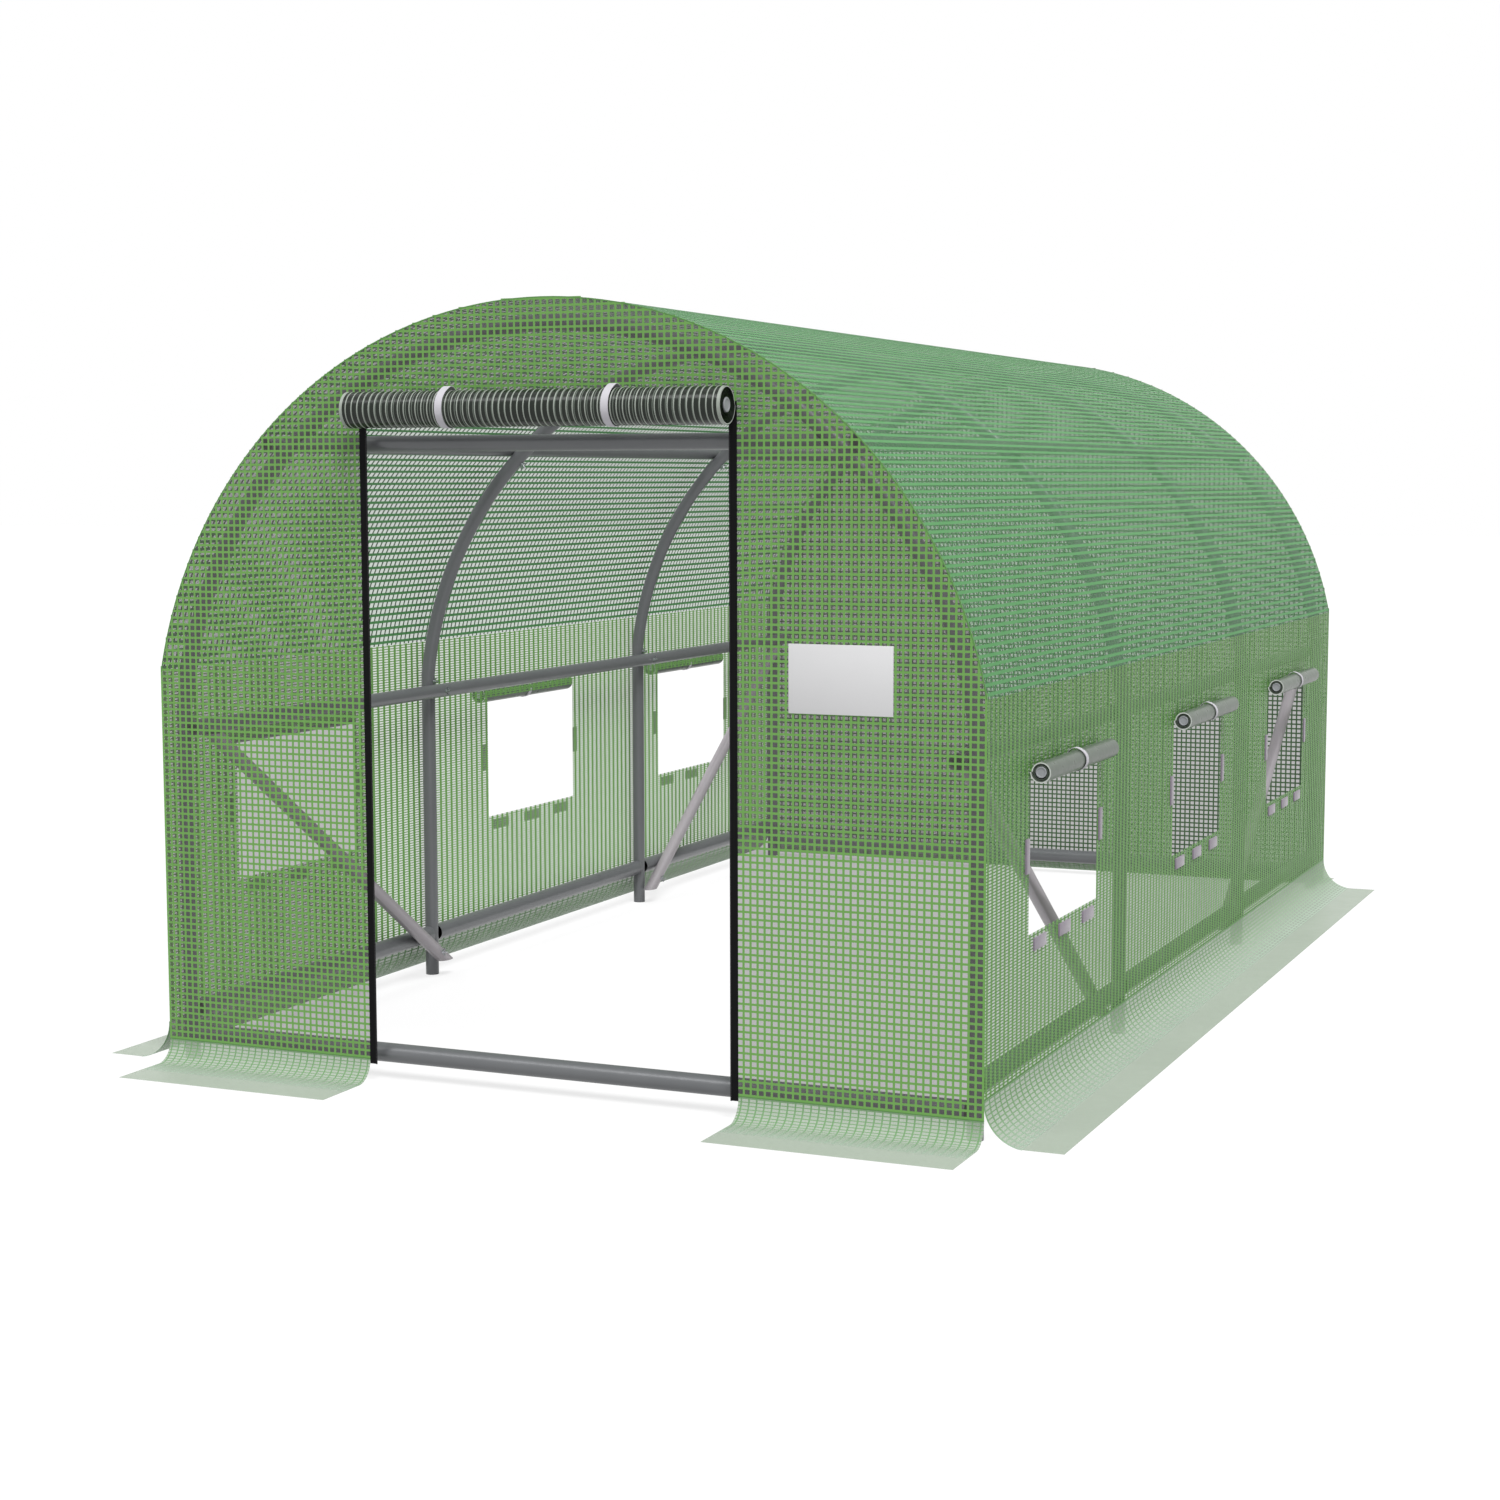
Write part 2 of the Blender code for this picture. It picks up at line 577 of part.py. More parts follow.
def main():
    """Builds the polytunnel."""
    clear_scene()
    steel = make_material("frame_tube", "6a6a6e", 0.42, metallic=0.55)
    film = make_material("cover_film", "679e48", 0.45, alpha=0.6)
    rolled_film = make_material("rolled_film", "7d8a80", 0.4)
    webbing = make_material("tie_webbing", "dcdcdc", 0.6)
    core_plastic = make_material("core_plastic", "a9adad", 0.4)
    tape = make_material("zip_tape", "121213", 0.55)
    slider_metal = make_material("zip_slider_metal", "3a3a3c", 0.35, metallic=0.8)
    make_hoops(steel)
    make_purlins(steel)
    make_side_rails(steel)
    make_end_tubes(steel)
    make_braces(steel)
    make_cover(film)
    make_skirts(film)
    make_door(film, rolled_film, webbing, core_plastic)
    make_zips(tape, slider_metal)
    make_window_flaps(rolled_film, webbing)


main()
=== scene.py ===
"""Looks of a walk-in polytunnel: reinforced film over a frame of steel tubes.

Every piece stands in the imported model's frame: metres, +Z up, the door facing -Y. The main
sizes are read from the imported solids. The values written here are what only the looks need.
"""

import functools
import json
import logging
import math
from dataclasses import dataclass
from dataclasses import field
from dataclasses import replace
from enum import Enum
from typing import Any
from typing import Callable
from typing import Iterable
from typing import Sequence

import bmesh
import bpy
from mathutils import Matrix
from mathutils import Vector
from mathutils.geometry import tessellate_polygon


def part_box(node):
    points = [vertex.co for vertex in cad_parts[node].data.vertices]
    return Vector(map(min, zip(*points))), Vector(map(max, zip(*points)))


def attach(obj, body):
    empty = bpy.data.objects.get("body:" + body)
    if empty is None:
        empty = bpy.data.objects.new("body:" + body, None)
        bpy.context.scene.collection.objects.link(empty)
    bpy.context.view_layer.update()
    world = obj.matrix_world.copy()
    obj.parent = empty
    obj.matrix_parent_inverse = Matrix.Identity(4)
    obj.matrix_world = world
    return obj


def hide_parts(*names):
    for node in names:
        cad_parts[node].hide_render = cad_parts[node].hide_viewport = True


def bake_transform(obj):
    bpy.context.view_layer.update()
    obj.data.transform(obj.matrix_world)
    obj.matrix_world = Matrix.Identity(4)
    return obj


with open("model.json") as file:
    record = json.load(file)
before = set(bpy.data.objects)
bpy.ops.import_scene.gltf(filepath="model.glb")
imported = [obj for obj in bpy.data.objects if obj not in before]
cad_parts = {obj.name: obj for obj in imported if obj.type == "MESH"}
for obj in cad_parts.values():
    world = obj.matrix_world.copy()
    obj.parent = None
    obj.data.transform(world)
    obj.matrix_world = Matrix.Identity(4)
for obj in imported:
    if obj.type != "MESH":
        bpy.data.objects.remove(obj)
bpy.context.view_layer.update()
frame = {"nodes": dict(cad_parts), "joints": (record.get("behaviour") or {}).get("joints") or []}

LOG = logging.getLogger("polytunnel")
MM = 0.001
SIDES = {"left": -1, "right": 1}
SHARP_ANGLE = math.radians(38)
CLEARANCE = 0.3 * MM

Mesh = bpy.types.Mesh
Piece = bpy.types.Object
Shape = bmesh.types.BMesh
NodeTree = bpy.types.NodeTree
Socket = bpy.types.NodeSocket
Point2 = tuple[float, float]
Triple = tuple[float, float, float]
Line = list[tuple[Vector, Vector]]
Place = Callable[[float, float, float], Vector]


class Axis(Enum):
    """The level axis that a sheet or a roll runs along."""

    X = 0
    Y = 1

    def point(self, along: float, sideways: float, up: float) -> Vector:
        """World point from its place along the axis, sideways of it and above the ground."""
        return Vector((along, sideways, up)) if self is Axis.X else Vector((sideways, along, up))

    @property
    def unit(self) -> Vector:
        """Unit vector along the axis."""
        return Vector((1, 0, 0)) if self is Axis.X else Vector((0, 1, 0))


def corners(node: str) -> tuple[Vector, Vector]:
    """Low and high corner of a solid's box."""
    low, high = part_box(node)
    return Vector(low), Vector(high)


def linear_colour(code: str) -> tuple[float, float, float, float]:
    """Linear RGBA of an sRGB hex colour.

    Args:
        code: six hex digits.

    Returns:
        Red, green, blue and an alpha of 1.
    """
    channels = [int(code[i : i + 2], 16) / 255 for i in (0, 2, 4)]
    linear = [c / 12.92 if c <= 0.04045 else ((c + 0.055) / 1.055) ** 2.4 for c in channels]
    return (*linear, 1.0)


def add_node(
    tree: NodeTree,
    kind: str,
    settings: dict[str, Any] | None = None,
    inputs: dict[str | int, Any] | None = None,
) -> bpy.types.Node:
    """Adds a node with its settings and inputs.

    Args:
        tree: the node tree.
        kind: the node's type name.
        settings: the node's own properties.
        inputs: for each input, by name or number, a value or the socket that feeds it.

    Returns:
        The new node.
    """
    node = tree.nodes.new(kind)
    for name, value in (settings or {}).items():
        setattr(node, name, value)
    for key, value in (inputs or {}).items():
        if isinstance(value, Socket):
            tree.links.new(value, node.inputs[key])
        else:
            node.inputs[key].default_value = value
    return node


@dataclass(frozen=True)
class Finish:
    """A surface with cloudy colour, a fine grain and uneven gloss.

    Attributes:
        name: the material's name.
        slot: the record's material slot that it stands for; not used.
        colour: main sRGB hex colour.
        shade: second colour, which drifts in over cloud-sized patches.
        roughness: middle roughness.
        cloud: size of the colour patches in metres.
        grain: size of the surface grain in metres.
        depth: height of the grain in metres.
        spread: how far the roughness wanders to each side.
        metallic: Principled metallic value.
        ior: index of refraction.
        alpha: opacity of one surface.
        sheen: weight of the dusty sheen of fibres.
        specular: share of the plain surface reflection that is kept.
    """

    name: str
    slot: str
    colour: str
    shade: str
    roughness: float
    cloud: float
    grain: float
    depth: float
    spread: float = 0.08
    metallic: float = 0.0
    ior: float = 1.5
    alpha: float = 1.0
    sheen: float = 0.0
    specular: float = 0.5

    def dyed(self, name: str, colour: str, shade: str, **changes: float) -> "Finish":
        """The same surface under another name and in other colours, with these values changed."""
        return replace(self, name=name, colour=colour, shade=shade, **changes)

    def place(self, tree: NodeTree) -> Socket:
        """Coordinates that the pattern lies in."""
        return add_node(tree, "ShaderNodeTexCoord").outputs["Object"]

    def colours(self, tree: NodeTree, place: Socket) -> Socket:
        """Base colour of the surface."""
        settings = {"Vector": place, "Scale": 1 / self.cloud, "Detail": 3.0, "Roughness": 0.6}
        clouds = add_node(tree, "ShaderNodeTexNoise", inputs=settings)
        return self.blend(tree, clouds.outputs["Fac"])

    def blend(self, tree: NodeTree, share: Socket) -> Socket:
        """Main colour where the share is 0, and the shade where it is 1."""
        ends = {0: share, 6: linear_colour(self.colour), 7: linear_colour(self.shade)}
        return add_node(tree, "ShaderNodeMix", {"data_type": "RGBA"}, ends).outputs[2]

    def relief(self, tree: NodeTree, place: Socket) -> Socket:
        """Height of the surface, from 0 to 1."""
        settings = {"Vector": place, "Scale": 1 / self.grain, "Detail": 2.0}
        return add_node(tree, "ShaderNodeTexNoise", inputs=settings).outputs["Fac"]

    def build(self) -> bpy.types.Material:
        """Makes the material.

        Returns:
            The material.
        """
        made = bpy.data.materials.new(self.name)
        made.use_nodes = True
        tree = made.node_tree
        shader = tree.nodes["Principled BSDF"]
        shader.inputs["Metallic"].default_value = self.metallic
        shader.inputs["Alpha"].default_value = self.alpha
        shader.inputs["Sheen Weight"].default_value = self.sheen
        shader.inputs["Specular IOR Level"].default_value = self.specular
        if not self.metallic:
            shader.inputs["IOR"].default_value = self.ior
        place = self.place(tree)
        height = self.relief(tree, place)
        least, most = self.roughness - self.spread, self.roughness + self.spread
        gloss = {"Value": height, "To Min": least, "To Max": most}
        rough = add_node(tree, "ShaderNodeMapRange", inputs=gloss)
        bump = add_node(tree, "ShaderNodeBump", inputs={"Height": height, "Distance": self.depth})
        tree.links.new(self.colours(tree, place), shader.inputs["Base Color"])
        tree.links.new(rough.outputs["Result"], shader.inputs["Roughness"])
        tree.links.new(bump.outputs["Normal"], shader.inputs["Normal"])
        return made


@dataclass(frozen=True)
class WovenFinish(Finish):
    """Plain weave of narrow tape, laid along the piece's own UV map in metres.

    Attributes:
        pitch: distance from one thread to the next in metres.
    """

    pitch: float = 2 * MM

    def place(self, tree: NodeTree) -> Socket:
        """The tape's own UV map, in metres along and across it."""
        return add_node(tree, "ShaderNodeUVMap", {"uv_map": "tape"}).outputs["UV"]

    def relief(self, tree: NodeTree, place: Socket) -> Socket:
        """Product of two crossing waves, one for each thread direction.

        Args:
            tree: the material's node tree.
            place: coordinates of the weave.

        Returns:
            The height.
        """
        # A wave texture of scale s repeats every 2 pi / 20 / s metres
        scale = 2 * math.pi / 20 / self.pitch
        waves = []
        for direction in ("X", "Y"):
            settings = {"bands_direction": direction}
            inputs = {"Vector": place, "Scale": scale}
            waves.append(add_node(tree, "ShaderNodeTexWave", settings, inputs))
        both = {0: waves[0].outputs["Fac"], 1: waves[1].outputs["Fac"]}
        return add_node(tree, "ShaderNodeMath", {"operation": "MULTIPLY"}, both).outputs[0]


@dataclass(frozen=True)
class FadingFinish(Finish):
    """A finish whose colour goes over to its shade along the attribute called reach."""

    def colours(self, tree: NodeTree, place: Socket) -> Socket:
        """Main colour where reach is 0, and the shade where it is 1."""
        reach = add_node(tree, "ShaderNodeAttribute", {"attribute_name": "reach"})
        return self.blend(tree, reach.outputs["Fac"])


# Steel tube with a satin powder coat: soft highlights over a faint orange peel. The peel of a
# real coat is about 1 mm wide, which is too fine to show, so it is drawn 9 mm wide.
POWDER_COATED_STEEL = Finish(
    name="powder_coated_steel",
    slot="frame_tube",
    colour="6a6c6e",
    shade="606264",
    roughness=0.34,
    cloud=160 * MM,
    grain=9 * MM,
    depth=0.12 * MM,
    metallic=0.2,
)
# The braces take a paler and slightly duller copy of the tube finish: painted light, which makes
# them look sunlit
BRACE_STEEL_PAINTED_LIGHT = POWDER_COATED_STEEL.dyed("brace_steel_painted_light", "a29da1", "959094", roughness=0.4)
# Blown polyethylene film: thin and clear, a little uneven in thickness, with slack creases. It
# scatters what it reflects, so it keeps its colour where it is seen edge on. It is a smoky grey
# in the end walls and green elsewhere, and the skirts' film is the densest.
END_FILM = Finish(
    name="polyethylene_end_film",
    slot="cover_film",
    colour="4c4b48",
    shade="545350",
    roughness=0.4,
    cloud=350 * MM,
    grain=60 * MM,
    depth=1.2 * MM,
    alpha=0.36,
    specular=0.12,
)
WALL_FILM = END_FILM.dyed("polyethylene_wall_film", "416f3b", "4c7844", alpha=0.33)
# The left wall's film is paler: painted light, which makes the left wall look lit from inside
LEFT_FILM_PAINTED_LIGHT = END_FILM.dyed("polyethylene_left_film_painted_light", "6f8f69", "789772", alpha=0.24)
ROOF_FILM = END_FILM.dyed("polyethylene_roof_film", "388744", "428f4c", alpha=0.26)
SKIRT_FILM = END_FILM.dyed("polyethylene_skirt_film", "909f8c", "98a694", alpha=0.6)
# Woven polyethylene tape laminated into the film: opaque leaf green, dull and slightly waxy
PE_TAPE = Finish(
    name="polyethylene_tape",
    slot="cover_film",
    colour="70a156",
    shade="689950",
    roughness=0.5,
    cloud=220 * MM,
    grain=14 * MM,
    depth=0.2 * MM,
    specular=0.15,
)
# Darker green for the inner faces of the rear wall's threads: painted shade
PE_TAPE_REAR_PAINTED_SHADE = PE_TAPE.dyed("polyethylene_rear_tape_painted_shade", "4b6648", "455d42")
# The right wall's level threads are darker: painted shade for a side that gets less light
PE_TAPE_RIGHT_WALL_PAINTED_SHADE = PE_TAPE.dyed("polyethylene_wall_tape_painted_shade", "598449", "537943")
PE_TAPE_ROOF = PE_TAPE.dyed("polyethylene_roof_tape", "56955a", "508d54")
PE_TAPE_HOOP = PE_TAPE.dyed("polyethylene_hoop_tape", "4a644a", "435c43")
PE_TAPE_SKIRT = FadingFinish(
    name="polyethylene_skirt_tape",
    slot="cover_film",
    colour="6f9468",
    shade="9fb2a1",
    roughness=0.5,
    cloud=220 * MM,
    grain=14 * MM,
    depth=0.2 * MM,
    specular=0.15,
)
# Two layers of film welded flat in a narrow seam: a dull leaf green
WELDED_SEAM = Finish(
    name="welded_seam",
    slot="cover_film",
    colour="5a8a4a",
    shade="528144",
    roughness=0.45,
    cloud=90 * MM,
    grain=12 * MM,
    depth=0.3 * MM,
    specular=0.2,
)
# The same film rolled up: the door's many layers make a dark, glossy body, darkened further with
# painted shade over the whole roll, and the few layers of a window flap stay pale
ROLLED_DOOR_DARK_AND_PAINTED_SHADE = Finish(
    name="rolled_door_film_dark_and_painted_shade",
    slot="rolled_film",
    colour="202720",
    shade="1b211b",
    roughness=0.2,
    cloud=120 * MM,
    grain=25 * MM,
    depth=0.4 * MM,
    specular=0.25,
)
ROLLED_FLAP = ROLLED_DOOR_DARK_AND_PAINTED_SHADE.dyed("rolled_flap_film", "5c665b", "545e53", roughness=0.3, specular=0.2)
ROLLED_TAPE = Finish(
    name="rolled_tape",
    slot="rolled_film",
    colour="9aa299",
    shade="8f968d",
    roughness=0.4,
    cloud=90 * MM,
    grain=12 * MM,
    depth=0.2 * MM,
)
SUNKEN_TAPE = ROLLED_TAPE.dyed("sunken_tape", "566056", "4f584f")
FILM_EDGE = Finish(
    name="cut_film_edge",
    slot="rolled_film",
    colour="c9cec8",
    shade="b9bfb8",
    roughness=0.5,
    cloud=60 * MM,
    grain=8 * MM,
    depth=0.2 * MM,
)
# Polypropylene webbing, woven flat: bright white with a matt, ribbed face
WEBBING = WovenFinish(
    name="polypropylene_webbing",
    slot="tie_webbing",
    colour="c8c6cc",
    shade="bdbbc2",
    roughness=0.7,
    cloud=60 * MM,
    grain=2 * MM,
    depth=0.35 * MM,
    sheen=0.1,
)
# Moulded polypropylene core and patch: plain and faintly grained
CORE_PLASTIC = Finish(
    name="moulded_core",
    slot="core_plastic",
    colour="9a9da0",
    shade="8d9093",
    roughness=0.42,
    cloud=50 * MM,
    grain=5 * MM,
    depth=0.1 * MM,
)
PATCH_PLASTIC = Finish(
    name="moulded_patch",
    slot="patch_plastic",
    colour="d3d3d4",
    shade="cdcdce",
    roughness=0.5,
    cloud=140 * MM,
    grain=7 * MM,
    depth=0.1 * MM,
)
# Zip: woven polyester tape in black, with moulded teeth and a die-cast slider
ZIP_TAPE = WovenFinish(
    name="polyester_zip_tape",
    slot="zip_tape",
    colour="111112",
    shade="0c0c0d",
    roughness=0.8,
    cloud=60 * MM,
    grain=2 * MM,
    depth=0.2 * MM,
    specular=0.1,
)
ZIP_TEETH = Finish(
    name="moulded_zip_teeth",
    slot="zip_tape",
    colour="262628",
    shade="1e1e20",
    roughness=0.5,
    cloud=30 * MM,
    grain=3 * MM,
    depth=0.05 * MM,
    specular=0.3,
)
DIE_CAST_ZINC = Finish(
    name="die_cast_zinc",
    slot="zip_slider_metal",
    colour="8c8c8e",
    shade="7c7c7e",
    roughness=0.3,
    cloud=12 * MM,
    grain=2 * MM,
    depth=0.05 * MM,
    metallic=1.0,
)
# Hook-and-loop tape: a dull violet-grey pile that scatters light at its edges
HOOK_AND_LOOP = Finish(
    name="hook_and_loop_tape",
    slot="hook_and_loop",
    colour="857c88",
    shade="766d79",
    roughness=0.9,
    cloud=25 * MM,
    grain=3 * MM,
    depth=0.8 * MM,
    sheen=0.4,
)
# Zinc-plated bolts and wing nuts: bright and slightly mottled
PLATED_STEEL = Finish(
    name="zinc_plated_steel",
    slot="fastener_steel",
    colour="b9bbbf",
    shade="a3a5ab",
    roughness=0.28,
    cloud=8 * MM,
    grain=3 * MM,
    depth=0.05 * MM,
    metallic=1.0,
)


@functools.cache
def material_of(finish: Finish) -> bpy.types.Material:
    """The material of a finish, made once."""
    return finish.build()


def finished_object(name: str, data: Mesh) -> Piece:
    """Puts a mesh into the scene as a piece whose place is in its mesh.

    Args:
        name: the piece's name.
        data: its mesh in world coordinates.

    Returns:
        The piece.
    """
    data.shade_smooth()
    data.set_sharp_from_angle(angle=SHARP_ANGLE)
    piece = bpy.data.objects.new(name, data)
    bpy.context.collection.objects.link(piece)
    return piece


def data_from(shape: Shape, finishes: Sequence[Finish]) -> Mesh:
    """Turns a bmesh into mesh data with its faces pointing out.

    Args:
        shape: the bmesh, which is used up.
        finishes: one finish for each material index.

    Returns:
        The mesh data.
    """
    bmesh.ops.recalc_face_normals(shape, faces=shape.faces)
    data = bpy.data.meshes.new(finishes[0].name)
    shape.to_mesh(data)
    shape.free()
    for finish in finishes:
        data.materials.append(material_of(finish))
    return data


def joined(parts: Iterable[Mesh]) -> Mesh:
    """Joins meshes into one, and keeps each one's materials.

    Args:
        parts: mesh data blocks in world coordinates.

    Returns:
        One mesh with the materials of all.
    """
    parts = list(parts)
    slots: list[bpy.types.Material] = []
    whole = bmesh.new()
    for part in parts:
        known = len(whole.faces)
        whole.from_mesh(part)
        whole.faces.ensure_lookup_table()
        for made in part.materials:
            if made not in slots:
                slots.append(made)
        for face in whole.faces[known:]:
            face.material_index = slots.index(part.materials[face.material_index])
    data = bpy.data.meshes.new(parts[0].name)
    whole.to_mesh(data)
    whole.free()
    for made in slots:
        data.materials.append(made)
    return data


def let_light_through(*pieces: Piece) -> None:
    """Lets light in: real film scatters nearly all of it inwards and casts no shade."""
    for piece in pieces:
        piece.visible_shadow = False
        piece.visible_diffuse = False


def settle(piece: Piece, body: str, finish: Finish, *nodes: str) -> Piece:
    """Says what a piece rides on and the solids that it stands for.

    Args:
        piece: the finished piece.
        body: the body that it rides on.
        finish: its main finish; not used.
        nodes: the solids that it replaces.

    Returns:
        The same piece.
    """
    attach(piece, body)
    if nodes:
        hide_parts(*nodes)
    LOG.info("%s: %d faces on %s", piece.name, len(piece.data.polygons), body)
    return piece


class NodeTool:
    """Geometry Nodes with named inputs, which turn a plain mesh into real pieces with a finish.

    Attributes:
        tree: the node tree.
        inputs: identifier of each named input.
        given: the inputs' sockets inside the tree.
    """

    def __init__(self, name: str, kinds: dict[str, str]) -> None:
        """Starts the tree.

        Args:
            name: the tree's name.
            kinds: socket type of each input besides the mesh and the finish.
        """
        self.tree = bpy.data.node_groups.new(name, "GeometryNodeTree")
        kinds = {"Mesh": "NodeSocketGeometry", **kinds, "Finish": "NodeSocketMaterial"}
        new_socket = self.tree.interface.new_socket
        self.inputs = {
            key: new_socket(name=key, in_out="INPUT", socket_type=kind).identifier
            for key, kind in kinds.items()
        }
        new_socket(name="Pieces", in_out="OUTPUT", socket_type="NodeSocketGeometry")
        self.given = add_node(self.tree, "NodeGroupInput").outputs

    def attribute(self, name: str) -> Socket:
        """A vector that the mesh carries at each of its points."""
        kind, settings = "GeometryNodeInputNamedAttribute", {"data_type": "FLOAT_VECTOR"}
        return add_node(self.tree, kind, settings, {"Name": name}).outputs["Attribute"]

    def end_with(self, pieces: Socket) -> None:
        """Ends the tree with real pieces in their finish.

        Args:
            pieces: what the tree has made.
        """
        real = add_node(self.tree, "GeometryNodeRealizeInstances", inputs={"Geometry": pieces})
        dressed = {"Geometry": real.outputs[0], "Material": self.given["Finish"]}
        done = add_node(self.tree, "GeometryNodeSetMaterial", inputs=dressed)
        add_node(self.tree, "NodeGroupOutput", inputs={0: done.outputs[0]})

    def run(self, data: Mesh, values: dict[str, Any], finish: Finish) -> Mesh:
        """Runs the tree on a mesh.

        Args:
            data: the mesh, with the attributes that the tree reads.
            values: values of the named inputs.
            finish: finish of what the tree makes.

        Returns:
            The result as a plain mesh.
        """
        carrier = bpy.data.objects.new("carrier", data)
        bpy.context.collection.objects.link(carrier)
        step = carrier.modifiers.new("step", "NODES")
        step.node_group = self.tree
        for key, value in {**values, "Finish": material_of(finish)}.items():
            step[self.inputs[key]] = value
        graph = bpy.context.evaluated_depsgraph_get()
        made = bpy.data.meshes.new_from_object(carrier.evaluated_get(graph))
        bpy.data.objects.remove(carrier)
        return made


class LineTree(NodeTool):
    """Geometry Nodes that turn lines into flat ribbons of one width and thickness."""

    def __init__(self) -> None:
        """Builds the node tree."""
        kinds = dict.fromkeys(("Width", "Thickness"), "NodeSocketFloat")
        super().__init__("ribbons_along_lines", kinds)
        curve = add_node(self.tree, "GeometryNodeMeshToCurve", inputs={"Mesh": self.given["Mesh"]})
        normals = {"Curve": curve.outputs[0], "Normal": self.attribute("across")}
        turned = add_node(self.tree, "GeometryNodeSetCurveNormal", {"mode": "FREE"}, normals)
        size = {"Width": self.given["Width"], "Height": self.given["Thickness"]}
        section = add_node(self.tree, "GeometryNodeCurvePrimitiveQuadrilateral", inputs=size)
        sweep = {"Curve": turned.outputs[0], "Profile Curve": section.outputs[0], "Fill Caps": True}
        self.end_with(add_node(self.tree, "GeometryNodeCurveToMesh", inputs=sweep).outputs[0])

    def ribbons(
        self,
        lines: Sequence[Line],
        width: float,
        thickness: float,
        finish: Finish,
        reach: Sequence[float] = (),
    ) -> Mesh:
        """Lays a ribbon along each line.

        Args:
            lines: for each line, its points, each with the direction across the ribbon there.
            width: width of the ribbons.
            thickness: thickness of the ribbons.
            finish: their finish.
            reach: for each point in turn, the attribute that a fading finish reads.

        Returns:
            One mesh with all the ribbons.
        """
        edges = []
        start = 0
        for line in lines:
            edges += [(start + i, start + i + 1) for i in range(len(line) - 1)]
            start += len(line)
        data = bpy.data.meshes.new("lines")
        data.from_pydata([tuple(point) for line in lines for point, _ in line], edges, [])
        across = data.attributes.new("across", "FLOAT_VECTOR", "POINT")
        across.data.foreach_set("vector", [c for line in lines for _, way in line for c in way])
        if reach:
            data.attributes.new("reach", "FLOAT", "POINT").data.foreach_set("value", reach)
        return self.run(data, {"Width": width, "Thickness": thickness}, finish)


class CopyTree(NodeTool):
    """Geometry Nodes that set copies of a small shape on points, each turned to its aim."""

    def __init__(self) -> None:
        """Builds the node tree."""
        super().__init__("copies_on_points", {"Shape": "NodeSocketObject"})
        aim = {"Vector": self.attribute("aim")}
        turn = add_node(self.tree, "FunctionNodeAlignRotationToVector", {"axis": "Z"}, aim)
        sample = {"Object": self.given["Shape"]}
        shape = add_node(self.tree, "GeometryNodeObjectInfo", inputs=sample)
        placed = {
            "Points": self.given["Mesh"],
            "Instance": shape.outputs["Geometry"],
            "Rotation": turn.outputs["Rotation"],
        }
        self.end_with(add_node(self.tree, "GeometryNodeInstanceOnPoints", inputs=placed).outputs[0])

    def copies(
        self, shape: Shape, places: Sequence[tuple[Vector, Vector]], finish: Finish
    ) -> Mesh:
        """Sets a copy of a shape on each place.

        Args:
            shape: the shape at the origin, with its own +Z as its aim; it is used up.
            places: the point and the aim of each copy.
            finish: the copies' finish.

        Returns:
            One mesh with all the copies.
        """
        sample = bpy.data.objects.new("sample", data_from(shape, [finish]))
        bpy.context.collection.objects.link(sample)
        data = bpy.data.meshes.new("points")
        data.from_pydata([tuple(point) for point, _ in places], [], [])
        aims = data.attributes.new("aim", "FLOAT_VECTOR", "POINT")
        aims.data.foreach_set("vector", [c for _, aim in places for c in aim])
        made = self.run(data, {"Shape": sample}, finish)
        bpy.data.objects.remove(sample)
        return made


@dataclass
class Tools:
    """The node trees that all the classes share.

    Attributes:
        lines: lays ribbons along lines.
        copies: sets copies of a shape on points.
    """

    lines: LineTree = field(default_factory=LineTree)
    copies: CopyTree = field(default_factory=CopyTree)


def box_shape(size: Sequence[float], bevel: float, middle: Sequence[float] = (0, 0, 0)) -> Shape:
    """Box with rounded edges.

    Args:
        size: its full size.
        bevel: radius of its edges.
        middle: where its middle is.

    Returns:
        The shape.
    """
    shape = bmesh.new()
    bmesh.ops.create_cube(shape, size=1)
    bmesh.ops.scale(shape, verts=shape.verts, vec=size)
    edges = list(shape.edges)
    bmesh.ops.bevel(shape, geom=edges, offset=bevel, segments=2, profile=0.5, affect="EDGES")
    bmesh.ops.translate(shape, verts=shape.verts, vec=middle)
    return shape


def join_rings(
    shape: Shape, one: Sequence[bmesh.types.BMVert], other: Sequence[bmesh.types.BMVert]
) -> list[bmesh.types.BMFace]:
    """Quads between two closed rings of points.

    Args:
        shape: the shape that the rings are in.
        one: the points of one ring.
        other: the points of the other, in the same order.

    Returns:
        The quads in order.
    """
    after = [*range(1, len(one)), 0]
    return [shape.faces.new((one[k], one[n], other[n], other[k])) for k, n in enumerate(after)]


def add_loft(shape: Shape, rings: Iterable[Iterable[Vector]]) -> list[bmesh.types.BMFace]:
    """Skin over rings of points, closed at both ends.

    Args:
        shape: the shape to add it to.
        rings: the points of each ring, in the same order.

    Returns:
        The quads in order, without the two ends.
    """
    made = [[shape.verts.new(point) for point in ring] for ring in rings]
    for end in (made[0], made[-1]):
        shape.faces.new(end)
    return [quad for one, other in zip(made, made[1:]) for quad in join_rings(shape, one, other)]


def read_tube(node: str) -> tuple[Vector, Vector, float]:
    """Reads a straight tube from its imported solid.

    Args:
        node: the solid's name.

    Returns:
        Both ends of the centre line, and the outer diameter.
    """
    spots = {tuple(round(c, 6) for c in v.co) for v in frame["nodes"][node].data.vertices}
    low, high = corners(node)
    size = high - low
    long_axis = max(range(3), key=lambda i: size[i])
    middle = (low[long_axis] + high[long_axis]) / 2
    groups: tuple[list[Vector], list[Vector]] = ([], [])
    for spot in spots:
        groups[spot[long_axis] > middle].append(Vector(spot))
    ends = [sum(group, Vector()) / len(group) for group in groups]
    along = (ends[1] - ends[0]).normalized()
    radius = max((spot - ends[0]).cross(along).length for spot in groups[0])
    return ends[0], ends[1], 2 * radius


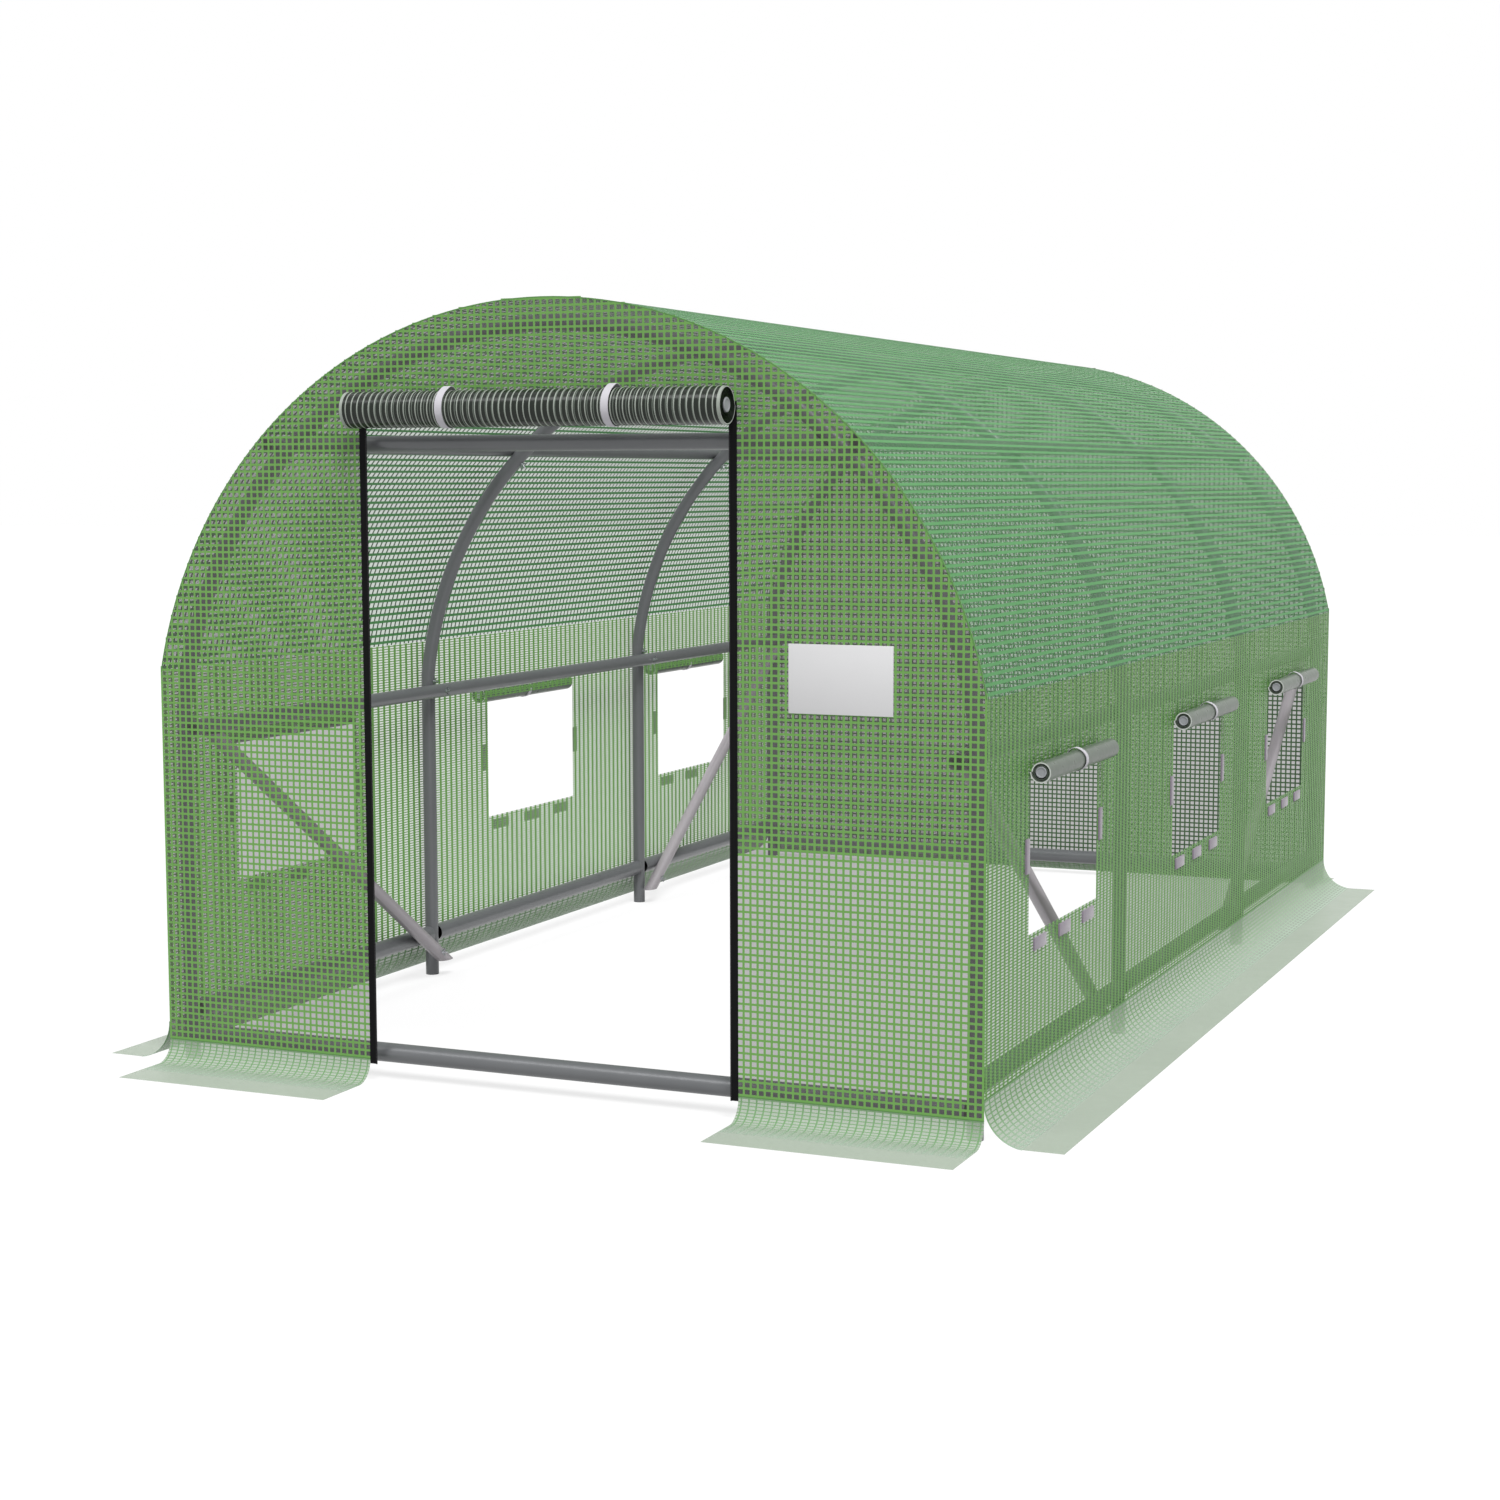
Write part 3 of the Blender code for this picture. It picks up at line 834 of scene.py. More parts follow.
@dataclass(frozen=True)
class Tunnel:
    """Main sizes of the cover and the hoops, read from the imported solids.

    Attributes:
        half_width: half the cover's width.
        half_length: half its length.
        hem: height of the walls' lower edge.
        eave: height where the roof starts.
        apex: height of the crown.
        leg_x: from the middle of the tunnel to a leg's axis.
        leg_top: height of a leg's top.
        hoop_tube: diameter of the hoops' tubes.
        arch_top: height of an arch's axis at its crown.
        hoops: place of each hoop along Y.
        roof_centre: height of the centre of the roof's arc.
        roof_radius: its radius.
        arch_centre: height of the centre of an arch's arc.
        arch_radius: its radius.
    """

    half_width: float
    half_length: float
    hem: float
    eave: float
    apex: float
    leg_x: float
    leg_top: float
    hoop_tube: float
    arch_top: float
    hoops: tuple[float, ...]
    roof_centre: float = field(init=False)
    roof_radius: float = field(init=False)
    arch_centre: float = field(init=False)
    arch_radius: float = field(init=False)

    def __post_init__(self) -> None:
        """Works out the arcs of the roof and of the hoops."""
        arcs = {
            "roof": (self.apex, self.eave, self.half_width),
            "arch": (self.arch_top, self.leg_top, self.leg_x),
        }
        for name, (top, foot, half_span) in arcs.items():
            rise = top - foot
            radius = (half_span**2 + rise**2) / (2 * rise)
            object.__setattr__(self, f"{name}_radius", radius)
            object.__setattr__(self, f"{name}_centre", top - radius)

    @classmethod
    def read(cls) -> "Tunnel":
        """Reads the sizes from the frame.

        Returns:
            The sizes.
        """
        front_low, front_high = corners("front_sheet")
        legs = [corners(f"hoop_{number}_right_leg") for number in (1, 2, 3, 4)]
        leg_low, leg_high = legs[0]
        tube = leg_high.x - leg_low.x
        return cls(
            half_width=front_high.x,
            half_length=-front_low.y,
            hem=front_low.z,
            eave=corners("roof_sheet")[0].z,
            apex=front_high.z,
            leg_x=(leg_low.x + leg_high.x) / 2,
            leg_top=leg_high.z,
            hoop_tube=tube,
            arch_top=corners("hoop_1_arch")[1].z - tube / 2,
            hoops=tuple((low.y + high.y) / 2 for low, high in legs),
        )

    @staticmethod
    def arc(centre: float, radius: float, start: float, steps: int) -> list[Point2]:
        """(x, z) points of an arc from an angle on the right to the same one on the left."""
        angles = [start + (math.pi - 2 * start) * i / steps for i in range(steps + 1)]
        return [(radius * math.cos(a), centre + radius * math.sin(a)) for a in angles]

    def roof_line(self, inset: float, steps: int) -> list[Point2]:
        """(x, z) points of the roof's arc, from the right eave to the left one."""
        start = math.asin((self.eave - self.roof_centre) / self.roof_radius)
        return self.arc(self.roof_centre, self.roof_radius - inset, start, steps)

    def arch_line(self, steps: int) -> list[Point2]:
        """(x, z) points of a hoop's arch, from the right leg to the left one."""
        start = math.asin((self.leg_top - self.arch_centre) / self.arch_radius)
        return self.arc(self.arch_centre, self.arch_radius, start, steps)


@dataclass
class TubeFrame:
    """Hoops, purlins, rails, sills, header and braces, with their bolts and wing nuts.

    Attributes:
        tunnel: main sizes.
        tools: shared node trees.
        sides: facets round a tube.
        arch_steps: facets along an arch.
        wall: wall thickness of the tubes.
        bolt: diameter of a bolt.
        bolt_length: how far its end stands in.
        boss: radii of a wing nut's boss at its foot and top, in bolt diameters.
        boss_height: height of the boss.
        wing: outline of a wing, in half spans out and in wing heights up.
        wing_span: width over both wings.
        wing_height: height of the wings.
        wing_thickness: thickness of a wing.
        leg_bolt_drop: from the top of a leg down to its bolt.
        brace_bolt_reach: from the foot of a brace up to its bolt.
    """

    tunnel: Tunnel
    tools: Tools
    sides: int = 32
    arch_steps: int = 72
    wall: float = 1.2 * MM
    bolt: float = 6 * MM
    bolt_length: float = 16 * MM
    boss: Point2 = (0.95, 0.8)
    boss_height: float = 5 * MM
    wing: tuple[Point2, ...] = (
        (0.3, 0.0),
        (0.62, 0.25),
        (1.0, 0.75),
        (0.95, 1.0),
        (0.7, 1.0),
        (0.3, 0.42),
    )
    wing_span: float = 26 * MM
    wing_height: float = 11 * MM
    wing_thickness: float = 1.6 * MM
    leg_bolt_drop: float = 22 * MM
    brace_bolt_reach: float = 60 * MM

    def tube(
        self,
        path: Sequence[Vector],
        diameter: float,
        normals: Sequence[Vector | None] = (None, None),
        finish: Finish = POWDER_COATED_STEEL,
    ) -> Mesh:
        """Hollow tube along a path.

        Args:
            path: points of its centre line.
            diameter: outer diameter.
            normals: for each end, the normal of a cut that isn't square.
            finish: its finish.

        Returns:
            The tube's mesh.
        """
        shape = bmesh.new()
        runs = [(b - a).normalized() for a, b in zip(path, path[1:])]
        lies_along_y = abs(runs[0].y) >= 0.9
        guide = Vector((1, 0, 0)) if lies_along_y else Vector((0, 1, 0))
        turns = [2 * math.pi * k / self.sides for k in range(self.sides)]
        shells: list[list[list[bmesh.types.BMVert]]] = [[], []]
        for i, point in enumerate(path):
            along = (runs[max(i - 1, 0)] + runs[min(i, len(runs) - 1)]).normalized()
            first = (guide - along * along.dot(guide)).normalized()
            second = along.cross(first)
            normal = normals[0] if i == 0 else normals[1] if i == len(path) - 1 else None
            for shell, radius in zip(shells, (diameter / 2, diameter / 2 - self.wall)):
                arms = [radius * (math.cos(t) * first + math.sin(t) * second) for t in turns]
                if normal:
                    arms = [arm - along * (arm.dot(normal) / along.dot(normal)) for arm in arms]
                shell.append([shape.verts.new(point + arm) for arm in arms])
        for shell in shells:
            for one, other in zip(shell, shell[1:]):
                join_rings(shape, one, other)
        for end in (0, -1):
            join_rings(shape, shells[0][end], shells[1][end])
        return data_from(shape, [finish])

    def straight(
        self, node: str, normal: Vector | None = None, finish: Finish = POWDER_COATED_STEEL
    ) -> None:
        """Replaces a straight tube's solid by a round tube on the same centre line.

        Args:
            node: the solid.
            normal: normal of the cut at both ends, if it isn't square.
            finish: the tube's finish.
        """
        low, high, diameter = read_tube(node)
        data = self.tube([low, high], diameter, (normal, normal), finish)
        settle(finished_object(f"{node}_tube", data), "root", finish, node)

    def header(self) -> None:
        """Header over the door, with its ends fitted to the arch's inner side."""
        low, _, diameter = read_tube("door_header")
        sizes = self.tunnel
        inner = sizes.arch_radius - sizes.hoop_tube / 2 - CLEARANCE
        rise = low.z - sizes.arch_centre
        reach = math.sqrt(inner**2 - rise**2)
        normals = [Vector((x, 0, rise)).normalized() for x in (-reach, reach)]
        path = [Vector((x, low.y, low.z)) for x in (-reach, reach)]
        data = self.tube(path, diameter, normals)
        piece = finished_object("door_header_tube", data)
        settle(piece, "root", POWDER_COATED_STEEL, "door_header")

    def wing_nut(self) -> Shape:
        """Bolt end in a wing nut, standing on z = 0 and pointing up.

        Returns:
            The shape.
        """
        shape = bmesh.new()
        foot, top = (self.bolt * share for share in self.boss)
        for low, high, height in (
            (foot, top, self.boss_height),
            (self.bolt / 2, self.bolt / 2, self.bolt_length),
        ):
            made = bmesh.ops.create_cone(
                shape, cap_ends=True, segments=12, radius1=low, radius2=high, depth=height
            )
            bmesh.ops.translate(shape, verts=made["verts"], vec=(0, 0, height / 2))
        for side in (-1, 1):
            spots = [(side * a * self.wing_span / 2, b * self.wing_height) for a, b in self.wing]
            faces = (-self.wing_thickness / 2, self.wing_thickness / 2)
            add_loft(shape, [[Vector((x, y, z)) for x, z in spots] for y in faces])
        return shape

    def fasteners(self) -> None:
        """Wing nuts where the tubes cross, all on the inner side of the frame."""
        sizes = self.tunnel
        places = []
        purlin, _, _ = read_tube("roof_purlin_right")
        eave, _, eave_tube = read_tube("eave_purlin_right")
        turn = math.atan2(purlin.z - sizes.arch_centre, purlin.x)
        reach = sizes.arch_radius - sizes.hoop_tube / 2
        for y in sizes.hoops:
            for sign in SIDES.values():
                out = Vector((sign * math.cos(turn), 0, math.sin(turn)))
                places.append((Vector((0, y, sizes.arch_centre)) + reach * out, -out))
                level = Vector((-sign, 0, 0))
                places.append((Vector((sign * (eave.x - eave_tube / 2), y, eave.z)), level))
                inner = sizes.leg_x - sizes.hoop_tube / 2
                height = sizes.leg_top - self.leg_bolt_drop
                places.append((Vector((sign * inner, y, height)), level))
        for end in ("front", "rear"):
            for side, sign in SIDES.items():
                one, other, diameter = read_tube(f"brace_{end}_{side}")
                foot, top = (one, other) if one.z < other.z else (other, one)
                spot = foot + (top - foot).normalized() * self.brace_bolt_reach
                places.append((spot - Vector((sign * diameter / 2, 0, 0)), Vector((-sign, 0, 0))))
        data = self.tools.copies.copies(self.wing_nut(), places, PLATED_STEEL)
        settle(finished_object("frame_wing_nuts", data), "root", PLATED_STEEL)

    def build(self) -> None:
        """Builds the whole frame."""
        sizes = self.tunnel
        level = Vector((0, 0, 1))
        for number, y in enumerate(sizes.hoops, start=1):
            for side in SIDES:
                self.straight(f"hoop_{number}_{side}_leg")
            path = [Vector((x, y, z)) for x, z in sizes.arch_line(self.arch_steps)]
            data = self.tube(path, sizes.hoop_tube, (level, level))
            piece = finished_object(f"hoop_{number}_arch_tube", data)
            settle(piece, "root", POWDER_COATED_STEEL, f"hoop_{number}_arch")
        for side in SIDES:
            self.straight(f"roof_purlin_{side}")
            self.straight(f"eave_purlin_{side}")
            for bay in (1, 2, 3):
                self.straight(f"side_rail_{side}_{bay}")
            for end in ("front", "rear"):
                # The braces' paler finish is painted light
                self.straight(f"brace_{end}_{side}", level, BRACE_STEEL_PAINTED_LIGHT)
        self.straight("front_sill")
        self.straight("rear_sill")
        self.header()
        self.fasteners()


def spans(loops: Sequence[Sequence[Point2]], axis: int, at: float) -> list[Point2]:
    """Stretches of a straight line that lie on a sheet's material.

    Args:
        loops: the sheet's outline and its openings.
        axis: 0 for a line at one place across, 1 for a line at one height.
        at: that place or height.

    Returns:
        Start and end of each stretch.
    """
    crossings = []
    for loop in loops:
        for one, other in zip(loop, [*loop[1:], loop[0]]):
            if (one[axis] > at) != (other[axis] > at):
                share = (at - one[axis]) / (other[axis] - one[axis])
                crossings.append(one[1 - axis] + share * (other[1 - axis] - one[1 - axis]))
    crossings.sort()
    return list(zip(crossings[::2], crossings[1::2]))


def steps_between(low: float, high: float, pitch: float) -> list[float]:
    """Places at an even pitch between two ends, centred between them.

    Args:
        low: one end.
        high: the other end.
        pitch: the pitch.

    Returns:
        The places, without the ends.
    """
    count = int((high - low) / pitch)
    start = (low + high - count * pitch) / 2
    return [start + i * pitch for i in range(count + 1) if low < start + i * pitch < high]


@dataclass(frozen=True)
class Weave:
    """Film and threads of one sheet.

    Attributes:
        film: finish of the film.
        level_pitch: distance between the threads that run level.
        rising_pitch: distance between the threads that run up or over.
        level_width: width of the level threads.
        rising_width: width of the rising threads.
        level: finish of the level threads.
        rising: finish of the rising threads.
        inner: finish of the threads' inner faces, if it is another one: a darker green that paints
            shade on them.
    """

    film: Finish
    level_pitch: float
    rising_pitch: float
    level_width: float
    rising_width: float
    level: Finish
    rising: Finish
    inner: Finish | None = None


FRONT_WEAVE = Weave(
    film=END_FILM,
    level_pitch=17.4 * MM,
    rising_pitch=18.5 * MM,
    level_width=5.6 * MM,
    rising_width=5.6 * MM,
    level=PE_TAPE,
    rising=PE_TAPE,
)
# The rear wall's threads carry painted shade on their inner faces
REAR_WEAVE = replace(FRONT_WEAVE, inner=PE_TAPE_REAR_PAINTED_SHADE)
RIGHT_WEAVE = Weave(
    film=WALL_FILM,
    level_pitch=7.8 * MM,
    rising_pitch=33.4 * MM,
    level_width=2.9 * MM,
    rising_width=13.0 * MM,
    # Darker level threads on the right wall: painted shade
    level=PE_TAPE_RIGHT_WALL_PAINTED_SHADE,
    rising=PE_TAPE,
)
# Both side walls are one film: the left wall's paler film is painted light, and the right wall's
# darker level threads are painted shade
LEFT_WEAVE = replace(RIGHT_WEAVE, film=LEFT_FILM_PAINTED_LIGHT, level=PE_TAPE, rising_width=11.5 * MM)
WALL_WEAVES = {"left": LEFT_WEAVE, "right": RIGHT_WEAVE}
ROOF_WEAVE = Weave(
    film=ROOF_FILM,
    level_pitch=22.3 * MM,
    rising_pitch=25.1 * MM,
    level_width=8.2 * MM,
    rising_width=6.5 * MM,
    level=PE_TAPE_ROOF,
    rising=PE_TAPE_HOOP,
)
END_SKIRT_WEAVE = Weave(
    film=SKIRT_FILM,
    level_pitch=8.9 * MM,
    rising_pitch=20.4 * MM,
    level_width=2.2 * MM,
    rising_width=4.0 * MM,
    level=PE_TAPE_SKIRT,
    rising=PE_TAPE_SKIRT,
)
SIDE_SKIRT_WEAVE = Weave(
    film=SKIRT_FILM,
    level_pitch=10.7 * MM,
    rising_pitch=39.4 * MM,
    level_width=3.0 * MM,
    rising_width=8.5 * MM,
    level=PE_TAPE_SKIRT,
    rising=PE_TAPE_SKIRT,
)

# Thicknesses of the film, the threads in it and a seam, and how deep under a solid's face the
# film lies
FILM_THICKNESS = 0.3 * MM
LEVEL_THREAD = 0.5 * MM
RISING_THREAD = 0.42 * MM
SEAM_THICKNESS = 0.8 * MM
FILM_MIDDLE = 0.5 * MM


class Path2:
    """Line of (sideways, up) points that can be walked by distance."""

    def __init__(self, points: Sequence[Point2]) -> None:
        """Measures the line.

        Args:
            points: its points in order.
        """
        self.points = [Vector(p) for p in points]
        self.marks = [0.0]
        for one, other in zip(self.points, self.points[1:]):
            self.marks.append(self.marks[-1] + (other - one).length)

    @property
    def length(self) -> float:
        """Whole length."""
        return self.marks[-1]

    def at(self, distance: float) -> tuple[Vector, Vector]:
        """Point at a distance along the line, and the direction there.

        Args:
            distance: distance from the start.

        Returns:
            The point and a unit vector.
        """
        for i, mark in enumerate(self.marks[1:]):
            if distance <= mark or i == len(self.marks) - 2:
                one, other = self.points[i], self.points[i + 1]
                share = (distance - self.marks[i]) / (mark - self.marks[i])
                return one.lerp(other, share), (other - one).normalized()
        raise ValueError("the line is empty")

    def normals(self) -> list[Vector]:
        """Unit normal at each point, to the left of the way the line runs.

        Returns:
            A unit vector for each point.
        """
        made = []
        for i in range(len(self.points)):
            near, far = self.points[max(i - 1, 0)], self.points[min(i + 1, len(self.points) - 1)]
            run = (far - near).normalized()
            made.append(Vector((-run.y, run.x)))
        return made


@dataclass
class FlatSheet:
    """Flat sheet of the cover, with its openings and its net of threads.

    Attributes:
        name: what the sheet is called.
        node: the solid that it stands for.
        loops: its outline and its openings, as (across, up) points.
        place: world point of (across, up, outwards).
        weave: its film and threads.
        seams: (across, up) lines that a welded seam runs along.
        seam_width: width of those seams.
    """

    name: str
    node: str
    loops: list[list[Point2]]
    place: Place
    weave: Weave
    seams: list[list[Point2]]
    seam_width: float

    def film(self) -> Piece:
        """Thin closed shell of film.

        Returns:
            The film as a piece.
        """
        shape = bmesh.new()
        flat = [point for loop in self.loops for point in loop]
        layers = []
        for lift in (-FILM_THICKNESS / 2, FILM_THICKNESS / 2):
            layers.append([shape.verts.new(self.place(a, b, lift - FILM_MIDDLE)) for a, b in flat])
        loops = [[Vector((a, b, 0)) for a, b in loop] for loop in self.loops]
        for triangle in tessellate_polygon(loops):
            for layer in layers:
                shape.faces.new([layer[i] for i in triangle])
        start = 0
        for loop in self.loops:
            for i in range(len(loop)):
                a, b = start + i, start + (i + 1) % len(loop)
                shape.faces.new((layers[0][a], layers[0][b], layers[1][b], layers[1][a]))
            start += len(loop)
        return finished_object(f"{self.name}_film", data_from(shape, [self.weave.film]))

    def extent(self, axis: int) -> Point2:
        """Least and greatest coordinate of the outline: axis 0 for across, 1 for up."""
        places = [point[axis] for point in self.loops[0]]
        return min(places), max(places)

    def area(self) -> float:
        """Area of the outline, less that of the openings.

        Returns:
            The area.
        """
        parts = []
        for loop in self.loops:
            turned = zip(loop, [*loop[1:], loop[0]])
            parts.append(abs(sum(p[0] * q[1] - q[0] * p[1] for p, q in turned)) / 2)
        return parts[0] - sum(parts[1:])

    def threads(self, tools: Tools) -> Piece:
        """Net of level and rising threads, and the welded seams.

        Args:
            tools: shared node trees.

        Returns:
            The net as a piece.
        """
        weave = self.weave
        to_side = self.place(1, 0, 0) - self.place(0, 0, 0)
        to_top = self.place(0, 1, 0) - self.place(0, 0, 0)
        level, rising, welded = [], [], []
        for at in steps_between(*self.extent(1), weave.level_pitch):
            for ends in spans(self.loops, 1, at):
                level.append([(self.place(a, at, -FILM_MIDDLE), to_top) for a in ends])
        for at in steps_between(*self.extent(0), weave.rising_pitch):
            for ends in spans(self.loops, 0, at):
                rising.append([(self.place(at, b, -FILM_MIDDLE), to_side) for b in ends])
        for seam in map(Path2, self.seams):
            line = []
            for spot, normal in zip(seam.points, seam.normals()):
                across = to_side * normal.x + to_top * normal.y
                line.append((self.place(spot.x, spot.y, -FILM_MIDDLE), across))
            welded.append(line)
        nets = [
            tools.lines.ribbons(level, weave.level_width, LEVEL_THREAD, weave.level),
            tools.lines.ribbons(rising, weave.rising_width, RISING_THREAD, weave.rising),
        ]
        # The inner faces of the rear wall's nets get painted shade
        for net in nets:
            self.paint_inner_shade(net)
        seams = tools.lines.ribbons(welded, self.seam_width, SEAM_THICKNESS, WELDED_SEAM)
        return finished_object(f"{self.name}_threads", joined([*nets, seams]))

    def paint_inner_shade(self, net: Mesh) -> None:
        """Paints shade on the inner faces of a net by giving them the weave's darker inner finish.

        Args:
            net: the threads' mesh.
        """
        if not self.weave.inner:
            return
        net.materials.append(material_of(self.weave.inner))
        middle = self.place(0, 0, -FILM_MIDDLE)
        out = self.place(0, 0, 1) - self.place(0, 0, 0)
        for face in net.polygons:
            if (face.center - middle).dot(out) < -RISING_THREAD / 4:
                face.material_index = len(net.materials) - 1

    def build(self, tools: Tools) -> None:
        """Args:
            tools: shared node trees.
        """
        film = settle(self.film(), "root", self.weave.film, self.node)
        net = settle(self.threads(tools), "root", self.weave.level)
        let_light_through(film, net)
        self.area()


@dataclass
class CurvedSheet:
    """Sheet with one section along its whole length, such as the roof or a skirt.

    Attributes:
        name: what the sheet is called.
        node: the solid that it stands for.
        section: the line that the film's middle follows, as (sideways, up) points.
        axis: the axis that the sheet runs along.
        low: one end along the axis.
        high: other end along the axis.
        weave: its film and threads; level threads run along the axis.
        fade_from: distance along the section where the threads start to fade.
        fade_to: distance where they have faded.
        edge: width of the welded edge at both ends, or 0 for none.
    """

    name: str
    node: str
    section: Path2
    axis: Axis
    low: float
    high: float
    weave: Weave
    held: str = "stretched"
    fade_from: float = 0.0
    fade_to: float = 100.0
    edge: float = 0.0

    def film(self) -> Piece:
        """Thin closed shell of film.

        Returns:
            The film as a piece.
        """
        half = FILM_THICKNESS / 2
        shape = bmesh.new()
        rings = []
        for spot, normal in zip(self.section.points, self.section.normals()):
            inner, outer = spot - half * normal, spot + half * normal
            ring = ((self.low, inner), (self.high, inner), (self.high, outer), (self.low, outer))
            rings.append([self.axis.point(along, p.x, p.y) for along, p in ring])
        add_loft(shape, rings)
        return finished_object(f"{self.name}_film", data_from(shape, [self.weave.film]))

    def faded(self, distance: float) -> float:
        """How far a thread has faded at a distance along the section, from 0 to 1."""
        share = (distance - self.fade_from) / (self.fade_to - self.fade_from)
        return min(max(share, 0.0), 1.0)

    def hoop(self, along: float, points: Iterable[Vector]) -> Line:
        """Line over points of the section, at one place along the axis."""
        return [(self.axis.point(along, p.x, p.y), self.axis.unit) for p in points]

    def threads(self, tools: Tools) -> Piece:
        """Threads along the axis and along the section, and the welded edges.

        Args:
            tools: shared node trees.

        Returns:
            The net as a piece.
        """
        weave, section = self.weave, self.section
        reached = min(self.fade_to, section.length)
        ends = (self.low, self.high)
        level, level_fade = [], []
        for at in steps_between(0, reached, weave.level_pitch):
            spot, run = section.at(at)
            way = self.axis.point(0, run.x, run.y)
            level.append([(self.axis.point(along, spot.x, spot.y), way) for along in ends])
            level_fade += [self.faded(at)] * 2
        walked = [(p, mark) for p, mark in zip(section.points, section.marks) if mark < reached]
        walked.append((section.at(reached)[0], reached))
        rising, rising_fade = [], []
        for along in steps_between(self.low, self.high, weave.rising_pitch):
            rising.append(self.hoop(along, [p for p, _ in walked]))
            rising_fade += [self.faded(mark) for _, mark in walked]
        parts = [
            tools.lines.ribbons(level, weave.level_width, LEVEL_THREAD, weave.level, level_fade),
            tools.lines.ribbons(
                rising, weave.rising_width, RISING_THREAD, weave.rising, rising_fade
            ),
        ]
        if self.edge:
            middles = (self.low + self.edge / 2, self.high - self.edge / 2)
            edges = [self.hoop(along, section.points) for along in middles]
            parts.append(tools.lines.ribbons(edges, self.edge, SEAM_THICKNESS, WELDED_SEAM))
        return finished_object(f"{self.name}_threads", joined(parts))

    def build(self, tools: Tools) -> None:
        """Args:
            tools: shared node trees.
        """
        film = settle(self.film(), "root", self.weave.film, self.node)
        net = settle(self.threads(tools), "root", self.weave.level)
        let_light_through(film, net)


def window_openings(side: str) -> list[tuple[float, float, float, float]]:
    """Openings of one side wall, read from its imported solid.

    Args:
        side: left or right.

    Returns:
        For each window its middle along Y, half its width, its sill and its top.
    """
    node = f"wall_sheet_{side}"
    low, high = corners(node)
    spots = {(round(v.co.y, 5), round(v.co.z, 5)) for v in frame["nodes"][node].data.vertices}
    inside = [(low[i] + MM, high[i] - MM) for i in (1, 2)]
    inner = [s for s in spots if all(a < c < b for c, (a, b) in zip(s, inside))]
    edges = sorted({y for y, _ in inner})
    sill, top = min(z for _, z in inner), max(z for _, z in inner)
    return [((a + b) / 2, (b - a) / 2, sill, top) for a, b in zip(edges[::2], edges[1::2])]


